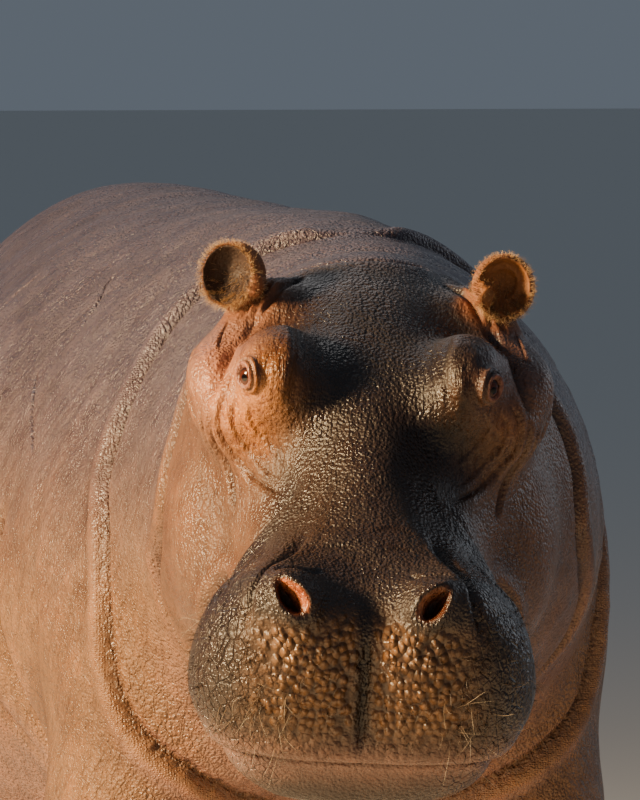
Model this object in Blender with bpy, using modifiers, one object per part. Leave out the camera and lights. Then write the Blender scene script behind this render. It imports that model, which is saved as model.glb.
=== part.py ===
"""A standing hippopotamus, life size, as one closed solid for each named part of the body.

Metres, +Z up, the animal facing -Y with its left side towards +X. The flesh is laid up like clay from
lofts, limbs and rounded masses, blended into one skin, and parted into nodes with thin cuts.
"""

from math import cos, pi, radians, sin

import bmesh
import bpy
from mathutils import Euler, Matrix, Vector

# Driving dimensions of the body, in metres. X is sideways, Y runs back from the forelegs, Z is up.
WITHERS_HEIGHT = 1.424
BELLY_CLEARANCE = 0.36
BARREL_HALF_WIDTH = 0.53
SHOULDER_HALF_WIDTH = 0.42
NECK_HALF_WIDTH = 0.355
RUMP_BACK = 1.88
HIND_LEG_BACK = 1.36
LEG_SPREAD = 0.295
STEP = 0.055

# The head is turned on the neck, lowered, and tilted a little to its left.
NECK_ROOT = Vector((0.0, -0.20, 0.0))
NECK_LENGTH = 0.46
EYE_REACH = 0.73
EYE_HEIGHT = 1.215
HEAD_YAW = radians(-12.2)
HEAD_PITCH = radians(28.0)
HEAD_ROLL = radians(2.6)

# Small parts, placed in the head's frame as left, back and up from between the eyes.
EYE_PLACE = Vector((0.159, -0.032, 0.018))
EYE_RADIUS = 0.025
NOSTRIL_PLACE = Vector((0.092, -0.438, -0.096))
NOSTRIL_RADII = (0.015, 0.034, 0.026)
EAR_PLACE = Vector((0.190, 0.196, 0.042))
EAR_ROOT = Vector((0.160, 0.205, -0.022))
EAR_RADII = (0.046, 0.032, 0.048)
EAR_WALL = 0.007
TAIL_ROOT = Vector((0.0, RUMP_BACK - 0.075, 1.13))
TAIL_LENGTH = 0.36
NAIL_SIZE = (0.050, 0.026, 0.044)

# Blending of the clay, and how finely each solid is faceted.
RING_SIDES = 28
BROAD_VOXEL = 0.014
BROAD_SOFTENING = 16
FINE_VOXEL = 0.010
FINE_SOFTENING = 7
HEAD_FACETS = 5500
LEG_FACETS = 3000
TRUNK_FACETS = 2350
CUT_GAP = 0.0006
SOCKET_GAP = 0.0006

SIDES = (("left", 1.0), ("right", -1.0))


def clear_scene():
    for old in list(bpy.data.objects):
        bpy.data.objects.remove(old)


def mesh_object(name, clay, where=None):
    data = bpy.data.meshes.new(name)
    clay.to_mesh(data)
    clay.free()
    made = bpy.data.objects.new(name, data)
    (where or bpy.context.scene.collection).objects.link(made)
    return made


def finished_mesh(obj):
    """The object's mesh with its modifiers carried out, in world space."""
    bpy.context.view_layer.update()
    graph = bpy.context.evaluated_depsgraph_get()
    data = bpy.data.meshes.new_from_object(obj.evaluated_get(graph))
    data.transform(obj.matrix_world)
    return data


def turned(yaw):
    return Euler((0.0, 0.0, yaw)).to_matrix()


def head_frame():
    """The head's own frame: X to its left, Y back along the palate, Z up from it, between the eyes."""
    eyes = NECK_ROOT + turned(HEAD_YAW) @ Vector((0.0, -EYE_REACH, 0.0))
    eyes.z = EYE_HEIGHT
    pitched = Euler((HEAD_PITCH, 0.0, 0.0)).to_matrix()
    rolled = Euler((0.0, HEAD_ROLL, 0.0)).to_matrix()
    return Matrix.Translation(eyes) @ (turned(HEAD_YAW) @ rolled @ pitched).to_4x4()


class Clay:
    """Closed shells laid over each other, to be blended into one skin."""

    def __init__(self, frame=None):
        self.shells = bmesh.new()
        self.frame = frame or Matrix.Identity(4)
        ball = bmesh.new()
        bmesh.ops.create_uvsphere(ball, u_segments=28, v_segments=18, radius=1.0)
        self.ball = bpy.data.meshes.new("ball")
        ball.to_mesh(self.ball)
        ball.free()

    def mass(self, centre, radii, turn=(0.0, 0.0, 0.0)):
        """A rounded mass: an ellipsoid with three radii, turned by degrees."""
        place = Matrix.Translation(centre) @ Euler([radians(a) for a in turn]).to_matrix().to_4x4()
        copy = self.ball.copy()
        copy.transform(self.frame @ place @ Matrix.Diagonal((*radii, 1.0)))
        self.shells.from_mesh(copy)
        bpy.data.meshes.remove(copy)

    def paired(self, centre, radii, turn=(0.0, 0.0, 0.0)):
        """The same mass on both sides of the animal."""
        for _, side in SIDES:
            place = (side * centre[0], centre[1], centre[2])
            self.mass(place, radii, (turn[0], side * turn[1], side * turn[2]))

    def limb(self, joints, steps=7):
        """A tapering limb: overlapping balls between joints, each given as a place and its radii."""
        for (start, thick), (end, thin) in zip(joints, joints[1:]):
            for step in range(steps + 1):
                share = step / steps
                self.mass(Vector(start).lerp(Vector(end), share), Vector(thick).lerp(Vector(thin), share))

    def loft(self, rings, steps=4):
        """A closed skin drawn smoothly through rings of points."""
        rows = list(zip(*(curve_through(column, steps) for column in zip(*rings))))
        rows = [[self.shells.verts.new(self.frame @ point) for point in row] for row in rows]
        faces = [rows[0], list(reversed(rows[-1]))]
        for row, following in zip(rows, rows[1:]):
            for step in range(RING_SIDES):
                ahead = (step + 1) % RING_SIDES
                faces.append((row[step], following[step], following[ahead], row[ahead]))
        made = [self.shells.faces.new(face) for face in faces]
        bmesh.ops.recalc_face_normals(self.shells, faces=made)

    def add(self, obj):
        """Adds an object's finished mesh, and removes the object."""
        data = finished_mesh(obj)
        bpy.data.objects.remove(obj)
        self.shells.from_mesh(data)

    def blended(self, name, voxel, passes):
        """The shells melted into one skin and softened."""
        made = mesh_object(name, self.shells)
        blending = made.modifiers.new("blending", "REMESH")
        blending.mode = "VOXEL"
        blending.voxel_size = voxel
        softening = made.modifiers.new("softening", "SMOOTH")
        softening.factor = 0.5
        softening.iterations = passes
        return made


def curve_through(knots, steps):
    """Points along a smooth curve through the knots."""
    guided = [2.0 * knots[0] - knots[1], *knots, 2.0 * knots[-1] - knots[-2]]
    points = []
    for before, start, end, after in zip(guided, guided[1:], guided[2:], guided[3:]):
        for step in range(steps):
            t = step / steps
            bend = 2.0 * before - 5.0 * start + 4.0 * end - after
            twist = 3.0 * start - before - 3.0 * end + after
            points.append(0.5 * (2.0 * start + t * (end - before) + t * t * bend + t * t * t * twist))
    points.append(knots[-1])
    return points


def section(back, top, bottom, half_width, narrow=0.0, square=2.0, widest=0.46):
    """A closed section across the body: round or squared, and narrowed towards its top."""
    middle = bottom + widest * (top - bottom)
    ring = []
    for step in range(RING_SIDES):
        angle = 2.0 * pi * (step + 0.5) / RING_SIDES
        across = abs(cos(angle)) ** (2.0 / square)
        up = abs(sin(angle)) ** (2.0 / square)
        if sin(angle) > 0.0:
            height = middle + (top - middle) * up
            across *= 1.0 - narrow * up
        else:
            height = middle - (middle - bottom) * up
        ring.append(Vector((half_width * (across if cos(angle) > 0.0 else -across), back, height)))
    return ring


def lay_trunk(clay):
    """Shoulder, barrel, loin and rump, with the muscle of the shoulders and haunches."""
    top = WITHERS_HEIGHT
    belly = BELLY_CLEARANCE
    stations = (
        (-0.38, top - 0.14, 0.74, 0.24, 0.08),
        (-0.30, top - 0.08, 0.66, 0.31, 0.08),
        (-0.15, top - 0.02, 0.56, NECK_HALF_WIDTH + 0.015, 0.12),
        (0.08, top, 0.48, SHOULDER_HALF_WIDTH, 0.15),
        (0.38, top - 0.002, 0.405, 0.470, 0.08),
        (0.75, top, belly, BARREL_HALF_WIDTH, 0.06),
        (1.10, top + 0.012, belly + 0.01, BARREL_HALF_WIDTH - 0.010, 0.18),
        (1.36, top + 0.018, belly + 0.08, 0.490, 0.24),
        (1.56, top - 0.010, 0.54, 0.430, 0.24),
        (1.71, top - 0.105, 0.63, 0.360, 0.10),
        (1.82, top - 0.240, 0.74, 0.250, 0.0),
        (RUMP_BACK - 0.01, top - 0.38, 0.86, 0.13, 0.0),
        (RUMP_BACK, top - 0.46, 0.92, 0.05, 0.0),
    )
    clay.loft([section(*station, widest=0.44) for station in stations])
    clay.paired((0.215, 0.02, 0.80), (0.198, 0.25, 0.34), (8.0, 0.0, 0.0))
    clay.paired((0.270, HIND_LEG_BACK - 0.04, 0.80), (0.220, 0.29, 0.40), (-10.0, 0.0, 0.0))
    clay.mass((0.0, -0.20, 0.74), (0.22, 0.20, 0.18))


def lay_neck(clay):
    """A thick neck in two fat rolls, turning from the shoulders to the back of the head."""
    rolls = (
        (0.00, 1.390, 0.600, 1.00),
        (0.16, 1.388, 0.615, 0.985),
        (0.32, 1.365, 0.650, 0.930),
        (0.48, 1.378, 0.665, 0.925),
        (0.66, 1.385, 0.690, 0.89),
        (0.84, 1.370, 0.730, 0.84),
        (1.00, 1.345, 0.780, 0.76),
    )
    rings = []
    for share, top, bottom, width in rolls:
        turn = turned(HEAD_YAW * (0.3 + 0.7 * share))
        centre = NECK_ROOT + turn @ Vector((0.0, -NECK_LENGTH * share, 0.0))
        ring = section(0.0, top, bottom, NECK_HALF_WIDTH * width, narrow=0.08)
        rings.append([centre + turn @ point for point in ring])
    clay.loft(rings)


def lay_head(clay):
    """Skull, snout and broad muzzle as one loft, the lower jaw as another, and the swellings on them."""
    skull = (
        (-0.490, -0.150, -0.300, 0.124, 0.10, 2.6),
        (-0.468, -0.112, -0.332, 0.190, 0.12, 2.8),
        (-0.420, -0.090, -0.354, 0.231, 0.14, 3.0),
        (-0.350, -0.078, -0.364, 0.239, 0.20, 3.0),
        (-0.280, -0.068, -0.358, 0.212, 0.34, 2.8),
        (-0.200, -0.055, -0.346, 0.182, 0.46, 2.5),
        (-0.120, -0.030, -0.340, 0.176, 0.48, 2.4),
        (-0.040, 0.002, -0.345, 0.190, 0.44, 2.3),
        (0.050, 0.032, -0.365, 0.216, 0.40, 2.2),
        (0.150, 0.042, -0.390, 0.246, 0.34, 2.1),
        (0.250, 0.038, -0.400, 0.262, 0.26, 2.0),
        (0.350, 0.008, -0.380, 0.250, 0.18, 2.0),
        (0.430, -0.050, -0.330, 0.200, 0.10, 2.0),
    )
    clay.loft([section(*station) for station in skull])
    jaw = (
        (-0.458, -0.300, -0.392, 0.105),
        (-0.430, -0.265, -0.424, 0.165),
        (-0.340, -0.250, -0.440, 0.198),
        (-0.200, -0.240, -0.456, 0.200),
        (-0.060, -0.200, -0.482, 0.220),
        (0.060, -0.150, -0.520, 0.252),
        (0.170, -0.120, -0.552, 0.270),
        (0.270, -0.120, -0.530, 0.262),
        (0.350, -0.150, -0.450, 0.220),
    )
    clay.loft([section(*station, square=2.4) for station in jaw])
    clay.mass((0.0, 0.26, -0.25), (0.22, 0.22, 0.25))
    clay.paired((0.122, 0.010, -0.004), (0.068, 0.086, 0.072), (0.0, 14.0, 0.0))
    clay.paired((0.176, 0.090, -0.090), (0.074, 0.130, 0.085), (-10.0, 0.0, 0.0))
    clay.paired((0.206, 0.125, -0.075), (0.050, 0.070, 0.066))
    clay.paired((0.150, 0.200, -0.020), (0.060, 0.062, 0.060))
    clay.paired((0.178, 0.110, -0.330), (0.096, 0.165, 0.175), (14.0, 0.0, 0.0))
    clay.paired((0.105, -0.380, -0.135), (0.078, 0.090, 0.066), (-16.0, 0.0, 0.0))


LEG_JOINTS = {
    "fore": (
        ((0.84, 0.05, 0.68), (0.150, 0.205, 0.22)),
        ((0.97, 0.05, 0.43), (0.150, 0.172, 0.14)),
        ((1.00, 0.02, 0.22), (0.118, 0.126, 0.10)),
        ((1.00, -0.01, 0.075), (0.126, 0.132, 0.085)),
    ),
    "hind": (
        ((0.84, -0.08, 0.68), (0.180, 0.250, 0.22)),
        ((0.97, -0.06, 0.46), (0.160, 0.205, 0.14)),
        ((1.00, 0.035, 0.26), (0.112, 0.123, 0.10)),
        ((1.00, 0.00, 0.075), (0.119, 0.126, 0.085)),
    ),
}
LEG_BACK = {"fore": 0.0, "hind": HIND_LEG_BACK}


def stride(pair, side):
    """How far a foot is set forward or back of its pair's middle."""
    return -side * STEP if pair == "fore" else side * STEP


def lay_legs(clay):
    """Short pillars, each set a little forward or back of its neighbour."""
    for pair, joints in LEG_JOINTS.items():
        for _, side in SIDES:
            placed = []
            for share, ((spread, back, height), radii) in zip((0.0, 0.4, 0.85, 1.0), joints):
                at = LEG_BACK[pair] + back + share * stride(pair, side)
                placed.append(((side * spread * LEG_SPREAD, at, height), radii))
            clay.limb(placed)


TOE_ANGLES = (-52.0, -17.0, 17.0, 52.0)
TOE_REACH = 0.112


def foot_centre(pair, side):
    back = LEG_BACK[pair] + LEG_JOINTS[pair][-1][0][1] + stride(pair, side)
    return Vector((side * LEG_SPREAD, back - 0.015, 0.0))


def toe_direction(angle, side):
    outward = radians(angle + 6.0 * side)
    return Vector((sin(outward), -cos(outward), 0.0))


def lay_feet(clay):
    """Flat-soled pads, each with four spread toes."""
    for pair in LEG_JOINTS:
        for _, side in SIDES:
            centre = foot_centre(pair, side)
            clay.mass(centre + Vector((0.0, 0.0, 0.020)), (0.120, 0.126, 0.070))
            for angle in TOE_ANGLES:
                toe = centre + TOE_REACH * toe_direction(angle, side) + Vector((0.0, 0.0, 0.030))
                clay.mass(toe, (0.040, 0.050, 0.046), (0.0, 0.0, angle))


def lay_face(clay):
    """The finer swellings: nostril rims and the stems of the ears."""
    clay.paired((0.094, -0.408, -0.106), (0.044, 0.056, 0.038), (-16.0, 0.0, 0.0))
    clay.paired((0.160, 0.205, -0.018), (0.034, 0.036, 0.036))


def flesh():
    """The whole skin: the broad forms melted together first, then the finer ones laid on."""
    broad = Clay()
    lay_trunk(broad)
    lay_neck(broad)
    lay_legs(broad)
    broad.frame = head_frame()
    lay_head(broad)
    fine = Clay()
    fine.add(broad.blended("broad", BROAD_VOXEL, BROAD_SOFTENING))
    lay_feet(fine)
    fine.frame = head_frame()
    lay_face(fine)
    return fine.blended("flesh", FINE_VOXEL, FINE_SOFTENING)


def thinned(obj, name, triangles):
    """The same skin in broad facets."""
    data = finished_mesh(obj)
    made = bpy.data.objects.new(name, data)
    bpy.context.scene.collection.objects.link(made)
    data.calc_loop_triangles()
    thinning = made.modifiers.new("thinning", "DECIMATE")
    thinning.ratio = triangles / len(data.loop_triangles)
    thinning.use_collapse_triangulate = True
    return settled(made)


def settled(obj):
    """Carries out an object's modifiers, so that the next step starts from a plain mesh."""
    data = finished_mesh(obj)
    obj.modifiers.clear()
    obj.data = data
    obj.matrix_world = Matrix.Identity(4)
    return obj


def copied(obj, name):
    made = bpy.data.objects.new(name, obj.data.copy())
    bpy.context.scene.collection.objects.link(made)
    return made


def carve(obj, cutter, operation="DIFFERENCE"):
    """Cuts an object by another, or keeps what the two share."""
    cut = obj.modifiers.new("cut", "BOOLEAN")
    cut.object = cutter
    cut.operation = operation
    cut.solver = "EXACT"
    return whole(settled(obj))


def whole(obj):
    """Drops the crumbs a cut leaves loose beside the one solid body, and splits its faces in threes."""
    clay = bmesh.new()
    clay.from_mesh(obj.data)
    bmesh.ops.triangulate(clay, faces=clay.faces)
    left = set(clay.verts)
    bodies = []
    while left:
        body = set()
        reached = [left.pop()]
        while reached:
            here = reached.pop()
            body.add(here)
            ahead = {edge.other_vert(here) for edge in here.link_edges} & left
            left -= ahead
            reached += ahead
        bodies.append(body)
    bodies.sort(key=len)
    for crumbs in bodies[:-1]:
        bmesh.ops.delete(clay, geom=list(crumbs), context="VERTS")
    clay.to_mesh(obj.data)
    clay.free()
    return obj


def grown(obj, gap):
    """A copy swollen outwards by a gap."""
    made = copied(obj, obj.name + "_socket")
    swelling = made.modifiers.new("swelling", "DISPLACE")
    swelling.strength = gap
    swelling.mid_level = 0.0
    return settled(made)


def box(name, low, high, frame=None):
    """A plain block between two corners of a frame."""
    clay = bmesh.new()
    size = Vector(high) - Vector(low)
    place = Matrix.Translation((Vector(high) + Vector(low)) / 2.0) @ Matrix.Diagonal((*size, 1.0))
    bmesh.ops.create_cube(clay, size=1.0, matrix=(frame or Matrix.Identity(4)) @ place)
    return mesh_object(name, clay)


def ellipsoid(name, frame, radii, across=14, along=8):
    clay = bmesh.new()
    place = frame @ Matrix.Diagonal((*radii, 1.0))
    bmesh.ops.create_uvsphere(clay, u_segments=across, v_segments=along, radius=1.0, matrix=place)
    return mesh_object(name, clay)


def in_head(place, side, turn=(0.0, 0.0, 0.0)):
    """A frame at a place on one side of the head, turned by degrees."""
    turn = Euler([radians(a) for a in (turn[0], side * turn[1], side * turn[2])])
    spot = Vector((side * place[0], place[1], place[2]))
    return head_frame() @ Matrix.Translation(spot) @ turn.to_matrix().to_4x4()


def mouth_block(gap=0.0):
    """The space of the lower jaw: below the line of the lips and ahead of the jowls."""
    line = (
        (-0.600, -0.300),
        (-0.470, -0.322),
        (-0.400, -0.347),
        (-0.320, -0.354),
        (-0.240, -0.334),
        (-0.160, -0.296),
        (-0.085, -0.270),
        (-0.030, -0.300),
        (0.035, -0.380),
        (0.075, -0.480),
        (0.090, -0.640),
    )
    lips = curve_through([Vector(point) for point in line], 2)
    outline = [point + Vector((gap, gap)) for point in lips] + [Vector((-0.6, -0.64))]
    clay = bmesh.new()
    frame = head_frame()
    ends = []
    for side in (-1.0, 1.0):
        ends.append([clay.verts.new(frame @ Vector((side * 0.45, *point))) for point in outline])
    clay.faces.new(ends[0])
    clay.faces.new(reversed(ends[1]))
    for here, ahead in zip(range(len(outline)), [*range(1, len(outline)), 0]):
        clay.faces.new((ends[0][ahead], ends[0][here], ends[1][here], ends[1][ahead]))
    bmesh.ops.recalc_face_normals(clay, faces=clay.faces)
    return mesh_object("mouth_block", clay)


def leg_block(pair, side, gap=0.0):
    """The space of one leg, from under the floor to where it leaves the body."""
    top = {"fore": 0.450, "hind": 0.490}[pair]
    lean = {"fore": 0.0, "hind": 20.0}[pair]
    back = LEG_BACK[pair] + {"fore": 0.045, "hind": -0.045}[pair] + 0.3 * stride(pair, side)
    clay = bmesh.new()
    bmesh.ops.create_cone(
        clay, cap_ends=True, segments=24, radius1=0.38, radius2=0.215 + gap, depth=0.75 + gap
    )
    bmesh.ops.translate(clay, verts=clay.verts, vec=(0.0, 0.0, (gap - 0.75) / 2.0))
    turn = Euler((radians(lean), 0.0, 0.0)).to_matrix().to_4x4()
    bmesh.ops.transform(
        clay, verts=clay.verts, matrix=Matrix.Translation((side * LEG_SPREAD, back, top)) @ turn
    )
    return mesh_object("leg_block", clay)


def ear(name, side):
    """A round cup on a short stem, open to the front, and the socket it sits in."""
    frame = in_head(EAR_PLACE, side, (-26.0, 8.0, 16.0))
    clay = Clay()
    clay.frame = frame
    clay.mass((0.0, 0.004, 0.0), EAR_RADII)
    clay.frame = head_frame()
    root = Vector((side * EAR_ROOT.x, EAR_ROOT.y, EAR_ROOT.z))
    lobe = Vector((side * (EAR_PLACE.x - 0.012), EAR_PLACE.y + 0.012, EAR_PLACE.z - 0.026))
    clay.limb(((root, (0.020, 0.022, 0.022)), (lobe, (0.026, 0.022, 0.026))), steps=5)
    made = thinned(clay.blended(name, 0.0035, 3), name, 200)
    hollow = [radius - EAR_WALL for radius in EAR_RADII]
    hollow[1] = EAR_RADII[1] + 0.004
    cup = ellipsoid("cup", frame @ Matrix.Translation((0.0, -0.017, 0.0)), hollow, 14, 8)
    socket = grown(made, SOCKET_GAP)
    return carve(made, cup), socket


def tail(name):
    """A short tail, thick at its root, flattened towards its tip and hanging close."""
    clay = Clay()
    root = TAIL_ROOT
    clay.limb(
        (
            (root, (0.060, 0.055, 0.060)),
            (root + Vector((0.0, 0.105, -0.060)), (0.042, 0.034, 0.045)),
            (root + Vector((0.004, 0.140, -0.210)), (0.030, 0.022, 0.040)),
            (root + Vector((0.010, 0.128, -TAIL_LENGTH)), (0.021, 0.012, 0.026)),
        )
    )
    return thinned(clay.blended(name, 0.008, 4), name, 160)


def nail(name, pair, side, angle):
    """A blunt, hoof-like nail on the front of a toe."""
    outward = toe_direction(angle, side)
    place = foot_centre(pair, side) + (TOE_REACH + 0.036) * outward + Vector((0.0, 0.0, 0.031))
    turn = Vector((0.0, -1.0, 0.0)).rotation_difference(outward).to_matrix().to_4x4()
    lean = Euler((radians(14.0), 0.0, 0.0)).to_matrix().to_4x4()
    clay = bmesh.new()
    size = Matrix.Diagonal((*NAIL_SIZE, 1.0))
    bmesh.ops.create_cube(clay, size=1.0, matrix=Matrix.Translation(place) @ turn @ lean @ size)
    made = mesh_object(name, clay)
    rounding = made.modifiers.new("rounding", "BEVEL")
    rounding.width = 0.010
    rounding.segments = 1
    return settled(made)


def paint(name, colour, roughness):
    made = bpy.data.materials.new(name)
    made.use_nodes = True
    shader = made.node_tree.nodes["Principled BSDF"]
    shader.inputs["Base Color"].default_value = (*colour, 1.0)
    shader.inputs["Roughness"].default_value = roughness
    return made


def finish(obj, name, where, material):
    """Names a finished solid, gives it its material and files it under the animal."""
    for held in list(obj.users_collection):
        held.objects.unlink(obj)
    where.objects.link(obj)
    obj.name = name
    obj.data.name = name
    obj.data.materials.clear()
    obj.data.materials.append(material)
    for face in obj.data.polygons:
        face.material_index = 0
        face.use_smooth = True
    obj.data.set_sharp_from_angle(angle=radians(40.0))


def stand_on_origin(solids):
    """Moves the animal so that the origin is at the middle of its footprint, on the floor."""
    corners = [vertex.co for solid in solids for vertex in solid.data.vertices]
    low = Vector([min(corner[axis] for corner in corners) for axis in range(3)])
    high = Vector([max(corner[axis] for corner in corners) for axis in range(3)])
    shift = Matrix.Translation((-(low.x + high.x) / 2.0, -(low.y + high.y) / 2.0, -low.z))
    for solid in solids:
        solid.data.transform(shift)


def part_legs(source, rest):
    """Takes the four legs out of the skin, each with its toenails set in sockets."""
    legs = {}
    nails = {}
    for pair in LEG_JOINTS:
        for word, side in SIDES:
            leg = carve(copied(source, "leg"), leg_block(pair, side), "INTERSECT")
            for number, angle in enumerate(TOE_ANGLES, start=1):
                made = nail("nail", pair, side, side * angle)
                carve(leg, grown(made, SOCKET_GAP))
                nails[f"nail_{pair}_{word}_{number}"] = made
            legs[f"leg_{pair}_{word}"] = leg
            for flesh_left in rest:
                carve(flesh_left, leg_block(pair, side, CUT_GAP))
    return legs, nails


def part_head(fine):
    """Parts the neck, head and lower jaw, and sets eyes, nostrils and ears into the head."""
    nape = in_head((0.0, 0.295, 0.0), 1.0, (-9.0, 0.0, 0.0))
    behind = box("behind", (-2.0, 0.0, -2.0), (2.0, 3.0, 2.0), nape)
    ahead = box("ahead", (-2.0, -3.0, -2.0), (2.0, -CUT_GAP, 2.0), nape)
    neck = carve(copied(fine, "neck"), behind, "INTERSECT")
    head = carve(fine, ahead, "INTERSECT")
    jaw = carve(copied(head, "jaw"), mouth_block(), "INTERSECT")
    carve(head, mouth_block(CUT_GAP))
    hides = {"neck": neck, "head": head, "lower_jaw": jaw}
    eyes = {}
    for word, side in SIDES:
        at = in_head(EYE_PLACE, side)
        eyes[f"eye_{word}"] = ellipsoid("eye", at, (EYE_RADIUS,) * 3)
        carve(head, ellipsoid("socket", at, (EYE_RADIUS + SOCKET_GAP,) * 3))
        carve(head, ellipsoid("nostril", in_head(NOSTRIL_PLACE, side, (28.0, 0.0, 24.0)), NOSTRIL_RADII))
        made, socket = ear("cup", side)
        carve(head, socket)
        hides[f"ear_{word}"] = made
    return hides, eyes


def main():
    clear_scene()
    animal = bpy.data.collections.new("hippopotamus")
    bpy.context.scene.collection.children.link(animal)

    skin = flesh()
    ground = box("ground", (-2.0, -3.0, -1.0), (2.0, 3.0, 0.0))
    fine = carve(thinned(skin, "fine", HEAD_FACETS), ground)
    limbs = carve(thinned(skin, "limbs", LEG_FACETS), ground)
    broad = carve(thinned(skin, "broad", TRUNK_FACETS), ground)

    legs, nails = part_legs(limbs, (broad, fine))
    shoulder = Matrix.Translation((0.0, -0.205, 0.0)) @ turned(0.3 * HEAD_YAW).to_4x4()
    trunk = carve(broad, box("rear", (-2.0, 0.0, -1.0), (2.0, 3.0, 3.0), shoulder), "INTERSECT")
    carve(fine, box("front", (-2.0, -3.0, -1.0), (2.0, -CUT_GAP, 3.0), shoulder), "INTERSECT")
    hides, eyes = part_head(fine)
    hanging = tail("hanging")
    carve(trunk, grown(hanging, SOCKET_GAP))
    hides |= {"trunk": trunk, "tail": hanging} | legs

    solids = [*hides.values(), *eyes.values(), *nails.values()]
    for old in list(bpy.data.objects):
        if old not in solids:
            bpy.data.objects.remove(old)
    hide = paint("hide", (0.16, 0.11, 0.10), 0.55)
    eye_glass = paint("eye_glass", (0.035, 0.018, 0.010), 0.08)
    horn = paint("horn", (0.10, 0.08, 0.065), 0.50)
    for named, material in ((hides, hide), (eyes, eye_glass), (nails, horn)):
        for name, solid in named.items():
            finish(solid, name, animal, material)
    stand_on_origin(solids)


if __name__ == "__main__":
    main()
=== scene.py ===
"""The looks of a life-size standing hippopotamus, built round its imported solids.

One seamless hide stands for all the nodes of flesh. It is melted from their shapes, smoothed, cut finer where
the head needs it, and then worked with folds, lids, nostrils, warts and toes. Eyes, nails, bristles and hair
are pieces of their own. Metres, +Z up, the animal facing -Y with its left side towards +X.
"""

from contextlib import contextmanager
from dataclasses import dataclass
from math import atan, cos, pi, radians, sin

import bmesh
import bpy
import numpy as np
from mathutils import Euler, Matrix, Vector, noise
from mathutils.bvhtree import BVHTree
from mathutils.kdtree import KDTree


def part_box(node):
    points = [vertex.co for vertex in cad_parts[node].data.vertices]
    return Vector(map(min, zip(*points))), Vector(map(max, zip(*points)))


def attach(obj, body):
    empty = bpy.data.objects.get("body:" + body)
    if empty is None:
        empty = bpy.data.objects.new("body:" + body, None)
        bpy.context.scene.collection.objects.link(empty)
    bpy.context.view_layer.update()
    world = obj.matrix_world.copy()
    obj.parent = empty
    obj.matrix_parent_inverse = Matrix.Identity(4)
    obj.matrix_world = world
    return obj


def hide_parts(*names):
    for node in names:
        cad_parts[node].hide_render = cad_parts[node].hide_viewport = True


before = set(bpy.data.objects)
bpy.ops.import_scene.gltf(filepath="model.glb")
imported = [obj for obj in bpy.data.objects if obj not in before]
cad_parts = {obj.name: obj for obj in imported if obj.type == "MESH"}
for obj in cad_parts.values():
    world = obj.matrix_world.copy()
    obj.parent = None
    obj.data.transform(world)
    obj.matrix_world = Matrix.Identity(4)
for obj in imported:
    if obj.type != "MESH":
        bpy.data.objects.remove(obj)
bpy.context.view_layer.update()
bpy.ops.object.select_all(action="DESELECT")

SIDES = (("left", 1.0), ("right", -1.0))
FEET = [f"{pair}_{word}" for pair in ("fore", "hind") for word, _ in SIDES]
LEGS = [f"leg_{foot}" for foot in FEET]
NAILS = [f"nail_{foot}_{number}" for foot in FEET for number in (1, 2, 3, 4)]
EYES = [f"eye_{word}" for word, _ in SIDES]
EARS = [f"ear_{word}" for word, _ in SIDES]
BODY = ["trunk", "neck", "head", "lower_jaw", "tail", *LEGS]

# The head's turn, as the solids have it, and the small parts' places in its frame: left, back, up.
HEAD_YAW = radians(-12.2)
HEAD_PITCH = radians(28.0)
HEAD_ROLL = radians(2.6)
EYE_PLACE = Vector((0.159, -0.032, 0.018))
NOSTRIL_PLACE = Vector((0.088, -0.43, -0.09))
EAR_PLACE = Vector((0.19, 0.196, 0.042))
EAR_ROOT = Vector((0.16, 0.205, -0.022))
EAR_RADII = Vector((0.046, 0.032, 0.048))
EAR_TURN = (-26.0, 8.0, 16.0)

# No face is quite even: how far some parts sit from their mirrored places, and over what reach.
UNEVEN = (
    ((0.159, -0.032, 0.018), 0.062, (-0.012, 0.0, -0.003)),
    ((-0.095, -0.43, -0.09), 0.06, (-0.018, 0.0, 0.0)),
    ((0.095, -0.43, -0.09), 0.06, (-0.004, 0.0, -0.004)),
)
EAR_SHIFT = {"left": -0.009, "right": -0.006}

# How the hide is melted together, smoothed, thinned and rid of its slivers and folded faces.
SWELL = 0.0015
NAIL_SHRINK = -0.004
VOXEL = 0.012
HEAD_SOFTENING = 8
BODY_SOFTENING = 50
HIDE_TRIANGLES = 192000
SLIVER = 0.0002
FOLDED_BACK = radians(105.0)


def middle(node):
    low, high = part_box(node)
    return (low + high) / 2.0


def turned(yaw):
    return Euler((0.0, 0.0, yaw)).to_matrix()


def head_frame():
    """The head's own frame: X to its left, Y back along the palate, Z up from it, between the eyes."""
    rolled = Euler((0.0, HEAD_ROLL, 0.0)).to_matrix()
    pitched = Euler((HEAD_PITCH, 0.0, 0.0)).to_matrix()
    turn = turned(HEAD_YAW) @ rolled @ pitched
    between = (middle("eye_left") + middle("eye_right")) / 2.0
    return Matrix.Translation(between - turn @ Vector((0.0, EYE_PLACE.y, EYE_PLACE.z))) @ turn.to_4x4()


HEAD = head_frame()


def in_frame(points, matrix):
    """World points in a frame of their own."""
    inverse = np.array(matrix.inverted())
    return points @ inverse[:3, :3].T + inverse[:3, 3]


def in_head(points):
    """World points as left, back and up in the head's frame."""
    return in_frame(points, HEAD)


def on_side(place, side):
    """A place of the head's frame on one side of it, in the world."""
    return HEAD @ Vector((side * place.x, place.y, place.z))


# ---- making and finishing meshes


def only(*objects):
    """Selects just these objects, the first of them active."""
    bpy.ops.object.select_all(action="DESELECT")
    for obj in objects:
        obj.select_set(True)
    bpy.context.view_layer.objects.active = objects[0]


@contextmanager
def editing(obj, selected="SELECT"):
    """Edit mode, begun with the mesh all selected or all deselected, or as it was."""
    only(obj)
    bpy.ops.object.mode_set(mode="EDIT")
    if selected:
        bpy.ops.mesh.select_all(action=selected)
    yield
    bpy.ops.object.mode_set(mode="OBJECT")


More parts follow.
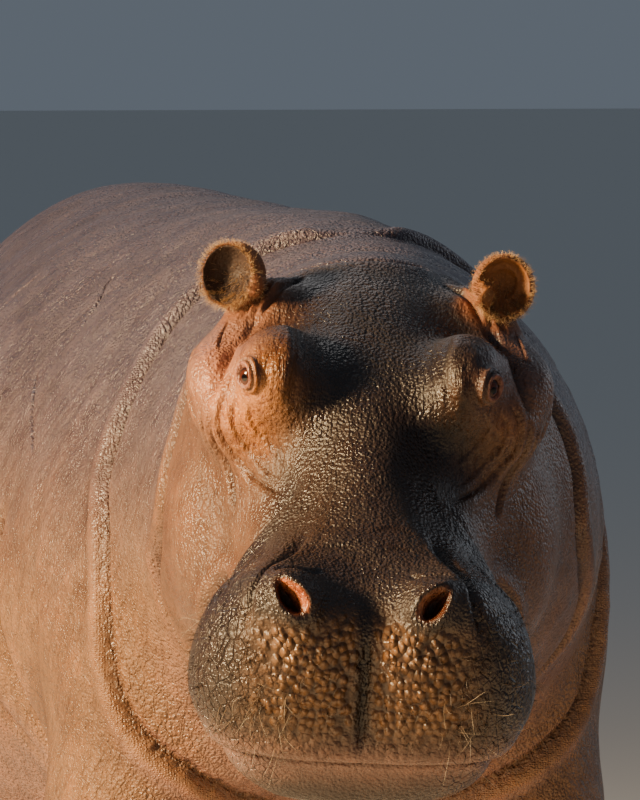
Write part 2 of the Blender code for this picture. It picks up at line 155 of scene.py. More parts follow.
def linked(name, data):
    """A new object in the scene."""
    made = bpy.data.objects.new(name, data)
    bpy.context.scene.collection.objects.link(made)
    return made


def finished(obj, finish):
    """Shades a piece smoothly and gives it its material."""
    only(obj)
    bpy.ops.object.shade_smooth()
    obj.data.materials.append(finish)


def carry_out(obj, kind, **settings):
    """Adds a modifier with its settings and applies it."""
    modifier = obj.modifiers.new(kind.lower(), kind)
    for name, value in settings.items():
        setattr(modifier, name, value)
    only(obj)
    bpy.ops.object.modifier_apply(modifier=modifier.name)
    return obj


def solid_copy(node, swell=0.0):
    """A node's solid as a mesh of its own, its loose triangles joined, swollen or shrunk a little."""
    made = linked(node + "_copy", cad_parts[node].data.copy())
    made.data.materials.clear()
    with editing(made):
        bpy.ops.mesh.remove_doubles(threshold=0.00001)
    if swell:
        carry_out(made, "DISPLACE", strength=swell, mid_level=0.0)
    return made


def joined(objects, name):
    only(*objects)
    bpy.ops.object.join()
    made = bpy.context.view_layer.objects.active
    made.name = name
    made.data.name = name
    return made


def ball(radii, frame_matrix, segments=32, rings=20):
    """An ellipsoid in a frame, its place and size kept in its mesh."""
    bpy.ops.mesh.primitive_uv_sphere_add(segments=segments, ring_count=rings, radius=1.0)
    made = bpy.context.object
    made.matrix_world = frame_matrix @ Matrix.Diagonal((*radii, 1.0))
    only(made)
    bpy.ops.object.transform_apply()
    return made


def points_of(mesh):
    points = np.empty(len(mesh.vertices) * 3)
    mesh.vertices.foreach_get("co", points)
    return points.reshape(-1, 3)


def normals_of(mesh):
    normals = np.empty(len(mesh.vertices) * 3, np.float32)
    mesh.vertex_normals.foreach_get("vector", normals)
    return normals.reshape(-1, 3).astype(float)


def smooth_step(low, high, values):
    share = np.clip((values - low) / (high - low), 0.0, 1.0)
    return share * share * (3.0 - 2.0 * share)


def bell(values, width):
    return np.exp(-((values / width) ** 2))


def lengths_of(vectors):
    return np.linalg.norm(vectors, axis=1)


def nearest_of(line, points):
    """Which of a line's points is the nearest to each point, the offset from it and its length."""
    offsets = points[:, None, :] - line[None, :, :]
    squares = (offsets**2).sum(2)
    closest = squares.argmin(1)
    rows = np.arange(len(points))
    return closest, offsets[rows, closest], np.sqrt(squares[rows, closest])


def curve_through(knots, spacing):
    """Points a set distance apart along a smooth curve through the knots."""
    knots = [Vector(knot) for knot in knots]
    guided = [2.0 * knots[0] - knots[1], *knots, 2.0 * knots[-1] - knots[-2]]
    points = []
    for before, start, end, after in zip(guided, guided[1:], guided[2:], guided[3:]):
        steps = max(1, round((end - start).length / spacing))
        for step in range(steps):
            t = step / steps
            bend = 2.0 * before - 5.0 * start + 4.0 * end - after
            twist = 3.0 * start - before - 3.0 * end + after
            points.append(0.5 * (2.0 * start + t * (end - before) + t * t * bend + t * t * t * twist))
    points.append(knots[-1])
    return points


# ---- the strokes that shape the hide

# Folds: knots in millimetres, then the groove's half width and depth, and the height and breadth of the roll
# of skin beside it, in tenths of a millimetre. A positive roll lies to the left of the stroke, a negative one
# to its right. Those of the head are in its frame and lie on both its sides.
HEAD_FOLDS = (
    # the bags under the eye
    (((200, -12, -4), (207, -12, -46), (201, -20, -90), (172, -42, -124), (134, -84, -129),
     (106, -130, -118)), 28, 36, 52, 130),
    (((184, -28, -14), (189, -26, -50), (176, -36, -84), (152, -56, -106), (118, -98, -110)), 24, 19, 36,
     100),
    (((164, -42, -18), (163, -42, -48), (146, -50, -72), (120, -76, -86)), 24, 15, 26, 90),
    (((214, 0, -30), (216, -6, -84), (204, -10, -132), (182, -26, -168), (158, -54, -200)), 56, 60, 44,
     140),
    (((228, 20, -70), (222, 10, -120), (208, -4, -168)), 44, 36, 30, 110),
    # in front of and above the eye
    (((150, 120, 10), (170, 98, 4), (186, 60, 4)), 40, 40, 20, 80),
    (((104, 60, 52), (100, 10, 52), (104, -50, 30), (114, -80, -10)), 90, 60, 40, 200),
    # between the eye and the cheek bone, and the slit before the ear
    (((150, 160, 12), (170, 128, 0), (190, 82, -10), (204, 34, -30), (210, 6, -62)), 80, 100, -40, 180),
    (((200, 160, -4), (206, 136, -10), (210, 110, -15), (214, 82, -18)), 14, 34, 14, 50),
    (((236, 150, -30), (246, 110, -60), (248, 60, -90), (236, 30, -120)), 70, 80, 40, 140),
    # the pleats in front of the ear
    (((94, 262, 6), (112, 226, 24), (132, 188, 28), (148, 158, 20), (160, 140, 8)), 48, 90, 60, 95),
    (((108, 264, 10), (127, 224, 26), (148, 184, 27), (164, 156, 15), (176, 138, 2)), 44, 86, 56, 90),
    (((124, 258, 14), (143, 220, 28), (160, 186, 27), (176, 162, 12), (190, 144, -4)), 42, 84, 50, 85),
    (((140, 248, 18), (158, 214, 28), (173, 190, 22), (190, 170, 6)), 38, 70, 40, 75),
    (((212, 214, -14), (220, 180, -36), (228, 150, -64), (236, 130, -100)), 60, 70, 40, 140),
    (((130, 300, 0), (160, 276, -10), (190, 262, -30), (214, 250, -64)), 70, 70, 40, 160),
    # where the muzzle's pad swells out of the snout
    (((94, -122, -76), (118, -146, -108), (150, -170, -160), (186, -186, -215), (212, -190, -270),
     (218, -180, -330)), 150, 140, -110, 300),
    (((92, -250, -74), (100, -300, -78), (112, -345, -82), (124, -392, -84), (136, -424, -94),
     (150, -440, -116), (160, -446, -146)), 85, 110, -50, 160),
    (((140, -230, -120), (160, -280, -118), (186, -330, -130), (206, -370, -160)), 90, 50, 30, 200),
    (((52, -372, -76), (70, -398, -70), (96, -404, -66), (120, -416, -78)), 45, 50, 20, 80),
    # creases across the bridge of the snout
    (((14, -330, -74), (40, -318, -72), (66, -326, -74)), 40, 22, 0, 100),
    (((4, -290, -66), (36, -276, -64), (70, -286, -70)), 40, 20, 0, 100),
    # the corner of the mouth and the back of the cheek
    (((176, -110, -262), (190, -85, -286), (206, -70, -330), (214, -66, -380)), 120, 90, 60, 220),
    (((238, 250, -80), (262, 262, -180), (272, 244, -270), (276, 218, -340), (282, 232, -410),
     (284, 270, -480), (240, 290, -540), (120, 290, -580)), 120, 120, 80, 300),
)

# Folds of the neck and body, on the right side and mirrored across the body's middle plane.
BODY_FOLDS = (
    # round the neck, behind its roll, and the roll's own lines
    (((0, -500, 1396), (-66, -496, 1388), (-130, -462, 1370), (-196, -430, 1325), (-252, -413, 1262),
     (-293, -421, 1197), (-328, -434, 1123), (-353, -445, 1055), (-366, -480, 980), (-370, -493, 894),
     (-362, -490, 820), (-320, -470, 730), (-230, -450, 650), (-110, -440, 610), (0, -436, 600)), 80, 120,
     -150, 300),
    (((0, -720, 1390), (-90, -720, 1380), (-180, -700, 1340), (-250, -660, 1270)), 140, 60, 50, 340),
    (((-270, -640, 1240), (-335, -650, 1120), (-350, -665, 1000), (-352, -690, 880), (-310, -700, 770)),
     160, 70, 50, 340),
    (((-10, -1020, 1378), (-80, -1026, 1374), (-135, -1010, 1366), (-190, -975, 1350), (-240, -930, 1300)),
     110, 100, 60, 280),
    (((-20, -900, 1385), (-110, -890, 1378), (-200, -850, 1330), (-270, -800, 1240)), 120, 60, 40, 300),
    # the front edge of the shoulder
    (((-210, -260, 1330), (-256, -235, 1283), (-295, -234, 1230), (-324, -235, 1185), (-350, -225, 1130),
     (-380, -215, 1060), (-400, -225, 980), (-405, -240, 880), (-400, -250, 780)), 240, 60, 60, 600),
    # slack skin behind the elbow, before the thigh and on the rump
    (((-440, -20, 980), (-460, -30, 860), (-450, -50, 740), (-420, -80, 640), (-360, -110, 560),
     (-290, -130, 500)), 260, 130, 80, 600),
    (((-480, 120, 800), (-470, 60, 690), (-430, 0, 590), (-370, -40, 520)), 180, 60, 50, 400),
    (((-480, 560, 960), (-490, 640, 840), (-480, 720, 720), (-440, 780, 610), (-370, 820, 520),
     (-290, 840, 470)), 260, 130, 80, 600),
    (((-500, 420, 780), (-490, 540, 660), (-450, 640, 560), (-390, 700, 500)), 180, 60, 50, 400),
    (((-60, 1560, 1240), (-130, 1560, 1120), (-190, 1530, 980), (-220, 1460, 840), (-230, 1380, 700),
     (-220, 1300, 580)), 200, 110, 60, 460),
    # the front and the back of the knees, the elbow and the hock
    (((-380, -440, 400), (-300, -500, 380), (-220, -440, 390)), 110, 60, 50, 220),
    (((-380, -430, 330), (-300, -490, 310), (-220, -430, 320)), 90, 50, 40, 200),
    (((-380, -240, 420), (-310, -200, 400), (-240, -240, 420)), 110, 60, 50, 220),
    (((-400, 1100, 380), (-320, 1180, 360), (-230, 1120, 380)), 110, 60, 50, 220),
    (((-380, 900, 320), (-300, 860, 300), (-220, 900, 320)), 100, 60, 40, 220),
)

# Broad forms: a middle and three radii in millimetres, then a height in tenths of one, negative for a hollow.
# The head's are in its frame, and all but those on the middle plane lie on both sides.
HEAD_FORMS = (
    ((76, -10, 46), (26, 85, 40), -130),
    ((150, -20, 40), (40, 60, 30), 60),
    ((226, 78, -48), (28, 46, 38), 190),
    ((196, 60, -12), (14, 60, 20), -90),
    ((130, -120, -105), (34, 45, 34), -90),
    ((170, -120, -170), (30, 60, 60), -60),
    ((93, -430, -88), (42, 44, 44), 210),
    ((88, -468, -160), (46, 40, 60), 100),
    ((0, -480, -170), (30, 50, 80), -170),
    ((168, -360, -160), (60, 90, 60), 90),
    ((205, -300, -250), (40, 90, 60), 60),
    ((240, 120, -300), (50, 110, 120), 80),
    ((0, -425, -80), (36, 75, 60), -80),
    ((0, -180, -30), (45, 130, 40), 50),
    ((0, 60, 60), (30, 90, 40), -50),
    ((95, -240, -75), (22, 80, 30), -60),
)
BODY_FORMS = (
    ((400, -300, 900), (110, 200, 260), 150),
    ((470, -20, 950), (120, 120, 260), -110),
    ((300, -420, 560), (90, 140, 110), 110),
    ((440, 1060, 820), (140, 260, 260), 180),
    ((500, 700, 1000), (120, 130, 220), -130),
    ((240, 1360, 1260), (100, 130, 90), 120),
    ((320, 1240, 560), (110, 120, 140), 110),
    ((0, 200, 450), (260, 420, 110), 100),
    ((0, -100, 1420), (60, 200, 60), -40),
    ((100, -150, 1410), (70, 180, 60), 60),
    ((330, -980, 700), (120, 140, 160), 50),
)

# Cracks, thin and darkened with painted crease shade, on the right flank only, in millimetres.
CRACKS = (
    ((-365, 54, 1181), (-383, -1, 1137), (-392, -37, 1104), (-400, -83, 1071), (-403, -116, 1053)),
    ((-290, 380, 1320), (-310, 390, 1292), (-330, 402, 1270), (-350, 404, 1245)),
    ((-240, 40, 1325), (-262, 24, 1302), (-285, -10, 1277), (-317, -28, 1236)),
)

# The neck ring's two halves come first after the head's folds, and a thin crease is laid in them. Sizes are
# in tenths of a millimetre, as the folds' are; ends is the share of a stroke over which it fades in and out.
NECK_RING = 2 * len(HEAD_FOLDS)
RING_CREASE = (50, 110)
CRACK = (36, 75)
HEAD_ENDS = 0.22
BODY_ENDS = 0.08

# In the head's frame and in millimetres: the line of the lips, back and up, and the upper lip's cleft.
LIP_LINE = ((-600, -300), (-470, -322), (-400, -347), (-320, -354), (-240, -334), (-160, -296), (-85, -270))
CLEFT = (((0, -464, -112), (0, -480, -142), (0, -489, -180), (0, -482, -250), (0, -470, -305)), 60, 80)


@dataclass
class Fold:
    """A groove drawn over the hide, with a roll of skin beside it."""

    knots: list
    width: float
    depth: float
    roll: float
    breadth: float
    ends: float

    def lay(self, surface):
        """Drops the stroke onto the surface and keeps its points, directions and fading ends."""
        line = curve_through(self.knots, max(0.003, 0.6 * self.width))
        hits = [surface.find_nearest(point) for point in line]
        self.line = np.array([hit[0] for hit in hits])
        outward = np.array([hit[1] for hit in hits])
        self.aside = np.cross(outward, np.gradient(self.line, axis=0))
        self.aside /= lengths_of(self.aside)[:, None] + 1e-9
        share = np.linspace(0.0, 1.0, len(self.line))
        self.fade = smooth_step(0.0, self.ends, share) * smooth_step(0.0, self.ends, 1.0 - share)

    def reach(self, points, reach):
        """The points near the stroke, how far from it each lies, and how far to the roll's side."""
        inside = (points > self.line.min(0) - reach) & (points < self.line.max(0) + reach)
        near = np.flatnonzero(inside.all(1))
        self.closest, offsets, distance = nearest_of(self.line, points[near])
        across = (offsets * self.aside[self.closest]).sum(1)
        return near, distance, across if self.roll > 0.0 else -across

    def lift(self, points):
        """How far the points near the stroke move outwards, and how deep in the groove each lies."""
        near, distance, side = self.reach(points, 2.6 * max(self.width, self.breadth))
        fade = self.fade[self.closest]
        groove = bell(distance, self.width) * fade
        lifted = -self.depth * groove
        if self.roll:
            crest = bell(side - 0.9 * self.breadth, 0.75 * self.breadth)
            beyond = bell(distance, 2.2 * self.breadth)
            lifted += abs(self.roll) * crest * beyond * fade
        return near, lifted, groove


def drawn(rows, matrix, ends=HEAD_ENDS, sides=(1.0, -1.0)):
    """The folds of a table in millimetres, each as it is given and then mirrored."""
    for knots, *sizes in rows:
        width, depth, roll, breadth = (size / 10000 for size in (*sizes, 0, 100)[:4])
        for side in sides:
            placed = [matrix @ Vector((side * x / 1000, y / 1000, z / 1000)) for x, y, z in knots]
            yield Fold(placed, width, depth, side * roll, breadth, ends)


def all_folds():
    """Every fold, in the world."""
    body = Matrix.Identity(4)
    ring = (BODY_FOLDS[0][0], *RING_CREASE)
    cracks = [(knots, *CRACK) for knots in CRACKS]
    return [*drawn(HEAD_FOLDS, HEAD), *drawn(BODY_FOLDS, body, BODY_ENDS), *drawn([ring], body, BODY_ENDS),
            *drawn(cracks, body, sides=[1.0]), *drawn([CLEFT], HEAD, sides=[1.0])]


def model_forms(hide):
    """Swells and hollows over the bones and muscles, on both sides or on the middle plane."""
    lifted = np.zeros(len(hide.points))
    for forms, points in ((HEAD_FORMS, in_head(hide.points)), (BODY_FORMS, hide.points)):
        for (x, y, z), radii, height in forms:
            for place in ((x, y, z), (-x, y, z))[:2 if x else 1]:
                away = (points - np.array(place) / 1000) / (np.array(radii) / 1000)
                lifted += height / 10000 * np.exp(-(away**2).sum(1))
    hide.push(lifted)
    hide.write()


def made_uneven(points, way=1.0):
    """Moves points of the head to their uneven places, or back to the mirrored ones."""
    local = in_head(points)
    moved = np.zeros_like(local)
    for place, reach, shift in UNEVEN:
        centre = np.array(place) + (np.array(shift) if way < 0.0 else 0.0)
        share = np.exp(-(((local - centre) ** 2).sum(1) / reach**2))
        moved += share[:, None] * np.array(shift)
    return points + way * moved @ np.array(HEAD.to_3x3()).T


# ---- the hide


class Hide:
    """The hide's points, worked in numbers and written back to its mesh."""

    def __init__(self, obj):
        self.obj = obj
        self.read()

    def read(self):
        mesh = self.obj.data
        self.points = points_of(mesh)
        edges = np.empty(len(mesh.edges) * 2, np.int64)
        mesh.edges.foreach_get("vertices", edges)
        self.edges = edges.reshape(-1, 2)
        self.count = np.bincount(self.edges.ravel(), minlength=len(self.points))
        self.outward = normals_of(mesh)

    def write(self):
        mesh = self.obj.data
        mesh.vertices.foreach_set("co", self.points.ravel())
        mesh.update()
        self.outward = normals_of(mesh)

    def push(self, lifted, near=slice(None)):
        """Moves points outwards."""
        self.points[near] += lifted[:, None] * self.outward[near]

    def smooth(self, passes, weight=1.0):
        """Draws each point towards the middle of its neighbours."""
        first, second = self.edges.T
        for _ in range(passes):
            total = np.empty_like(self.points)
            for axis in range(3):
                column = self.points[:, axis]
                total[:, axis] = np.bincount(first, column[second], len(column))
                total[:, axis] += np.bincount(second, column[first], len(column))
            step = total / np.maximum(self.count, 1)[:, None] - self.points
            self.points += 0.5 * step * np.reshape(weight, (-1, 1))
        self.write()

    def surface(self):
        faces = [tuple(face.vertices) for face in self.obj.data.polygons]
        return BVHTree.FromPolygons([tuple(point) for point in self.points], faces)

    def refine(self, chosen):
        """Cuts the faces with chosen middles into four."""
        mesh = self.obj.data
        middles = np.empty(len(mesh.polygons) * 3)
        mesh.polygons.foreach_get("center", middles)
        with editing(self.obj, "DESELECT"):
            bpy.ops.mesh.select_mode(type="FACE")
        mesh.polygons.foreach_set("select", chosen(middles.reshape(-1, 3)))
        with editing(self.obj, None):
            bpy.ops.mesh.subdivide(number_cuts=1, smoothness=0.0)
        self.read()


def near_any(points, centres, reach):
    """Which points lie within reach of any of the centres."""
    tree = KDTree(len(centres))
    for index, centre in enumerate(centres):
        tree.insert(centre, index)
    tree.balance()
    inside = (points > np.min(centres, axis=0) - reach) & (points < np.max(centres, axis=0) + reach)
    chosen = np.zeros(len(points), bool)
    for index in np.flatnonzero(inside.all(1)):
        chosen[index] = tree.find(points[index])[2] < reach
    return chosen


def melt_together():
    """The flesh nodes as one closed skin, with the sockets of eyes and nails filled."""
    parts = [solid_copy(node, SWELL) for node in BODY]
    parts += [solid_copy(node, SWELL / 2.0) for node in EYES]
    parts += [solid_copy(node, NAIL_SHRINK) for node in NAILS]
    hide = joined(parts, "hide")
    carry_out(hide, "REMESH", mode="VOXEL", voxel_size=VOXEL)
    return hide


def soften(hide):
    """Smooths the solids' facets away, most on the body, least on the head, the tail and the feet."""
    local = in_head(hide.points)
    body = smooth_step(0.2, 0.42, local[:, 1])
    body *= smooth_step(0.06, 0.2, hide.points[:, 2])
    body *= 1.0 - smooth_step(1.38, 1.45, hide.points[:, 1])
    hide.smooth(HEAD_SOFTENING, 0.45 + 0.55 * body)
    hide.smooth(BODY_SOFTENING, body)


def refine_for(hide, folds):
    """Cuts the hide finer on the head, along the folds, and finest at the eyes and nostrils."""
    eyes = [middle(eye) for eye in EYES]
    nostrils = [on_side(NOSTRIL_PLACE, side) for _, side in SIDES]
    nails = [middle(nail) for nail in NAILS]
    every, fine, finest = (np.concatenate([fold.line for fold in folds if fold.width < widest])
                           for widest in (1.0, 0.007, 0.004))

    def head(points):
        local = in_head(points)
        return (local[:, 1] < 0.26) & (local[:, 2] > -0.52)

    def warty(points):
        side, back, up = in_head(points).T
        return (back < -0.34) & (up > -0.34) & (np.abs(side) < 0.2)

    for also, *places in ((head, (every, 0.036), (nails, 0.05)),
                          (warty, (fine, 0.014), (eyes, 0.065), (nostrils, 0.06), (nails, 0.036)),
                          (None, (eyes, 0.042), (nostrils, 0.038), (finest, 0.007))):
        def chosen(points):
            near = np.any([near_any(points, *place) for place in places], axis=0)
            return near | also(points) if also else near
        hide.refine(chosen)
    hide.smooth(3)


def square_axes(first, second):
    """In the world: a direction of the head's frame, the one square to both, and the second squared to it."""
    first = Vector(first).normalized()
    second = Vector(second)
    second = (second - second.dot(first) * first).normalized()
    turn = HEAD.to_3x3()
    first, second = turn @ first, turn @ second
    return np.array(first), np.array(second.cross(first)), np.array(second)


EYE_RADIUS = 0.025
LID_WIDTH = radians(27.0)
LID_HEIGHT = radians(31.0)
LID_RISE = radians(3.0)
LID_SLANT = 0.12
LIDS_REACH = 0.085
FAR_OUT = 9.0
# The lids' outline from the margin outwards: how many fissures out, and how far the skin stands off the
# eyeball's own surface, above and below the eye.
UPPER_LID = ((0.0, -0.0045), (0.86, -0.004), (1.0, 0.0044), (1.18, 0.0064), (1.36, 0.0058), (1.52, 0.002),
             (1.72, 0.0064), (1.96, 0.0068), (2.14, 0.0032), (2.34, 0.0048), (3.0, 0.004))
LOWER_LID = ((0.0, -0.0045), (0.86, -0.004), (1.0, 0.0026), (1.2, 0.0044), (1.4, 0.0038), (1.56, 0.0012),
             (1.8, 0.0036), (2.1, 0.003), (2.3, 0.0012), (2.55, 0.0022), (3.0, 0.002))


def eye_coordinates(points, word, side):
    """Each point's offset from the eye's middle, its distance, and how many fissures out and up it lies.

    The lids open more to the side than to the front.
    """
    outward, sideways, upward = square_axes((side * 0.76, -0.56, 0.32), (side * 0.06, 0.3, 1.0))
    offsets = points - np.array(middle(f"eye_{word}"))
    radius = lengths_of(offsets)
    ahead, across, up = offsets @ outward, offsets @ sideways, offsets @ upward
    aside = np.hypot(across, up)
    turn = np.arctan2(aside, ahead) / np.maximum(aside, 1e-6)
    turn_across = turn * across / LID_WIDTH
    turn_up = (turn * up + LID_RISE) / LID_HEIGHT - LID_SLANT * turn_across * side
    out = np.hypot(turn_across, turn_up)
    out[(radius > LIDS_REACH) | (ahead < 0.1 * radius)] = FAR_OUT
    return offsets, radius, out, turn_up


def open_eye(hide, word, side):
    """Raises the lids round the eyeball and opens the slit between them."""
    offsets, radius, out, turn_up = eye_coordinates(hide.points, word, side)
    above = smooth_step(-0.75, 0.45, turn_up / np.maximum(out, 1e-6))
    stand = above * np.interp(out, *zip(*UPPER_LID)) + (1.0 - above) * np.interp(out, *zip(*LOWER_LID))
    hold = 1.0 - smooth_step(2.0, 3.1, out)
    hide.points += offsets / radius[:, None] * ((EYE_RADIUS + stand - radius) * hold)[:, None]


def nostril_axes(side):
    """Along the slit from its outer to its inner end, across it, and out of it."""
    return square_axes((-side * 0.58, -0.5, -0.58), (side * 0.16, -0.74, 0.66))


NOSTRIL_LENGTH = 0.0265
NOSTRIL_WIDTH = 0.015
NOSTRIL_DEPTH = 0.034


def nostril_coordinates(points, side):
    """Each point's share along the slit, share across it, and height over it."""
    along, across, outward = nostril_axes(side)
    offsets = points - np.array(on_side(NOSTRIL_PLACE, side))
    length = offsets @ along / NOSTRIL_LENGTH
    opening = NOSTRIL_WIDTH * (1.0 + 0.22 * np.clip(length, -1.0, 1.0))
    return length, (offsets @ across) / opening, offsets @ outward


def open_nostril(hide, side):
    """Sinks the slanting nostril, steeper on its inner side, and raises its thick rim."""
    length, across, height = nostril_coordinates(hide.points, side)
    out = np.sqrt(length**2 + across**2)
    near = (np.abs(height) < 0.07) & (out < 3.4)
    sloping = smooth_step(0.3, -0.5, across * side)
    inner_edge = 0.5 - 0.75 * sloping
    sink = NOSTRIL_DEPTH * (1.0 - smooth_step(0.0, 1.0, (out - inner_edge) / (1.06 - inner_edge)))
    rim = (0.006 + 0.0025 * sloping) * bell(out - 1.4, 0.38)
    hide.points += (near * (rim - sink))[:, None] * nostril_axes(side)[2]


def lip_distance(local):
    """How far each point lies from the line of the lips, seen from the side, and how far above it."""
    knots = [(back / 1000, up / 1000, 0.0) for back, up in LIP_LINE]
    line = np.array([tuple(point) for point in curve_through(knots, 0.006)])[:, :2]
    near = np.flatnonzero((local[:, 1] < -0.05) & (local[:, 2] < -0.2) & (local[:, 2] > -0.42))
    distance, above = np.full(len(local), 1.0), np.zeros(len(local))
    _, offsets, distance[near] = nearest_of(line, local[near][:, 1:3])
    above[near] = offsets[:, 1]
    return distance, above


# How deep the lips' groove is, and how far the upper lip rolls out and the lower one draws in.
LIP_GROOVE = 0.012
UPPER_LIP = 0.01
LOWER_LIP = 0.003


def part_lips(hide):
    """The closed mouth: a groove with the upper lip rolled over the lower one."""
    local = in_head(hide.points)
    distance, above = lip_distance(local)
    corner = smooth_step(-0.075, -0.15, local[:, 1])
    lifted = -LIP_GROOVE * bell(distance, 0.006) * smooth_step(-0.08, -0.115, local[:, 1])
    lifted += UPPER_LIP * bell(above - 0.022, 0.02) * bell(distance, 0.04) * corner
    lifted -= LOWER_LIP * bell(above + 0.016, 0.012) * bell(distance, 0.04) * corner
    hide.push(lifted)


def warty_share(local):
    """How warty each point of the muzzle is, from nought to one."""
    side, back, up = np.abs(local[:, 0]), local[:, 1], local[:, 2]
    share = smooth_step(-0.37, -0.44, back) * smooth_step(-0.09, -0.125, up)
    share *= 1.0 - smooth_step(0.1, 0.19, side + 0.12 * (up + 0.2))
    share *= smooth_step(0.004, 0.022, side)
    return share * (0.25 + 0.75 * smooth_step(-0.295, -0.225, up)) * smooth_step(-0.312, -0.296, up)


# How many knobs there are to a metre each way, how high they stand and how deep the slits between them are.
KNOBS_PER_METRE = (88.0, 52.0, 70.0)
KNOB_HEIGHT = 0.0026
SLIT_DEPTH = 0.0014


def raise_warts(hide):
    """The knobs and the slits between them on the front of the muzzle."""
    local = in_head(hide.points)
    region = warty_share(local)
    for _, side in SIDES:
        length, across, _ = nostril_coordinates(hide.points, side)
        region *= smooth_step(1.35, 1.9, np.hypot(length, across))
    near = np.flatnonzero(region > 0.01)
    stretched = local[near] * KNOBS_PER_METRE
    found = np.array([noise.voronoi(Vector(point))[0][:2] for point in stretched])
    knobs = 1.0 - smooth_step(0.05, 0.7, found[:, 0])
    clefts = 1.0 - smooth_step(0.0, 0.22, found[:, 1] - found[:, 0])
    hide.push((KNOB_HEIGHT * knobs - SLIT_DEPTH * clefts) * region[near], near)


# How far the broad wrinkles of the slack skin stand out, and how deep the narrow ones cut.
BROAD_WRINKLE = 0.0035
NARROW_WRINKLE = 0.003


def loosen_skin(hide):
    """Slack wrinkles that slant back and down over the neck, shoulders and flanks."""
    points = hide.points
    local = in_head(points)
    region = smooth_step(0.25, 0.4, local[:, 1]) * smooth_step(0.25, 0.45, points[:, 2])
    near = np.flatnonzero(region > 0.02)
    x, y, z = points[near].T
    along = np.abs(x) * 0.3 + 0.62 * z - 0.5 * y
    across = y + 0.75 * z
    lifted = np.empty(len(near))
    for index, (here, there, side) in enumerate(zip(across, along, x)):
        broad = noise.noise(Vector((here * 11.0, there * 2.2, side * 1.5)))
        narrow = noise.noise(Vector((here * 27.0, there * 4.0, side * 3.0 + 7.0)))
        lifted[index] = BROAD_WRINKLE * broad - NARROW_WRINKLE * abs(narrow)
    hide.push(lifted * region[near], near)


# The roll of skin round a nail, and the heights and depths of the creases round an ankle.
CUTICLE = 0.0045
ANKLE_CREASES = ((0.125, 0.004), (0.155, 0.005), (0.205, 0.004))


def shape_toes(hide):
    """A cuticle of skin round each nail, and creases round the ankles."""
    points = hide.points
    low = np.flatnonzero(points[:, 2] < 0.34)
    nails = BVHTree.FromPolygons(*nail_shells())
    lifted = np.zeros(len(points))
    for index in low:
        if points[index, 2] < 0.13:
            away = nails.find_nearest(Vector(points[index]), 0.03)[3]
            if away is not None:
                lifted[index] = CUTICLE * float(bell(away - 0.006, 0.006))
    for height, depth in ANKLE_CREASES:
        wave = 0.01 * np.sin(9.0 * points[low, 0] + 7.0 * points[low, 1])
        lifted[low] -= depth * bell(points[low, 2] - height - wave, 0.008)
    lifted *= smooth_step(0.004, 0.02, points[:, 2])
    hide.push(lifted)


def nail_shells():
    """All nails' points and faces in one list."""
    points, faces = [], []
    for nail in NAILS:
        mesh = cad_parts[nail].data
        start = len(points)
        points += [vertex.co.copy() for vertex in mesh.vertices]
        faces += [[start + index for index in face.vertices] for face in mesh.polygons]
    return points, faces


def ear_frame(word, side):
    """An ear's own frame, seen from its root: X aside, -Y into the cup, Z to its tip."""
    pitch, roll, yaw = EAR_TURN
    turn = Euler([radians(angle) for angle in (pitch, side * roll, side * yaw)])
    x, y, z = EAR_PLACE + Vector((side * EAR_SHIFT[word], 0.0, 0.0))
    return HEAD @ Matrix.Translation((side * x, y, z)) @ turn.to_matrix().to_4x4()


# An ear's cup: the degrees it is turned by, its radii, how far forward it sits and how high its inner ridge
# is. Then how finely the ear is melted together, before and after the cup is cut, and the knob at its opening.
EAR_CUP_TURN = {"left": -16.0, "right": 17.0}
EAR_CUP_RADII = Vector((0.0365, 0.035, 0.0405))
EAR_CUP_SHIFT = -0.0215
EAR_RIDGE = {"left": 0.0035, "right": 0.0}
EAR_VOXELS = (0.0024, 0.0017)
TRAGUS = (0.015, 0.013, 0.019)


def ear_cup_frame(word, side):
    """The cup opens more to the side than the ear itself."""
    turn = Euler((0.0, 0.0, side * radians(EAR_CUP_TURN[word]))).to_matrix().to_4x4()
    return ear_frame(word, side) @ turn @ Matrix.Translation((0.0, EAR_CUP_SHIFT, 0.002))


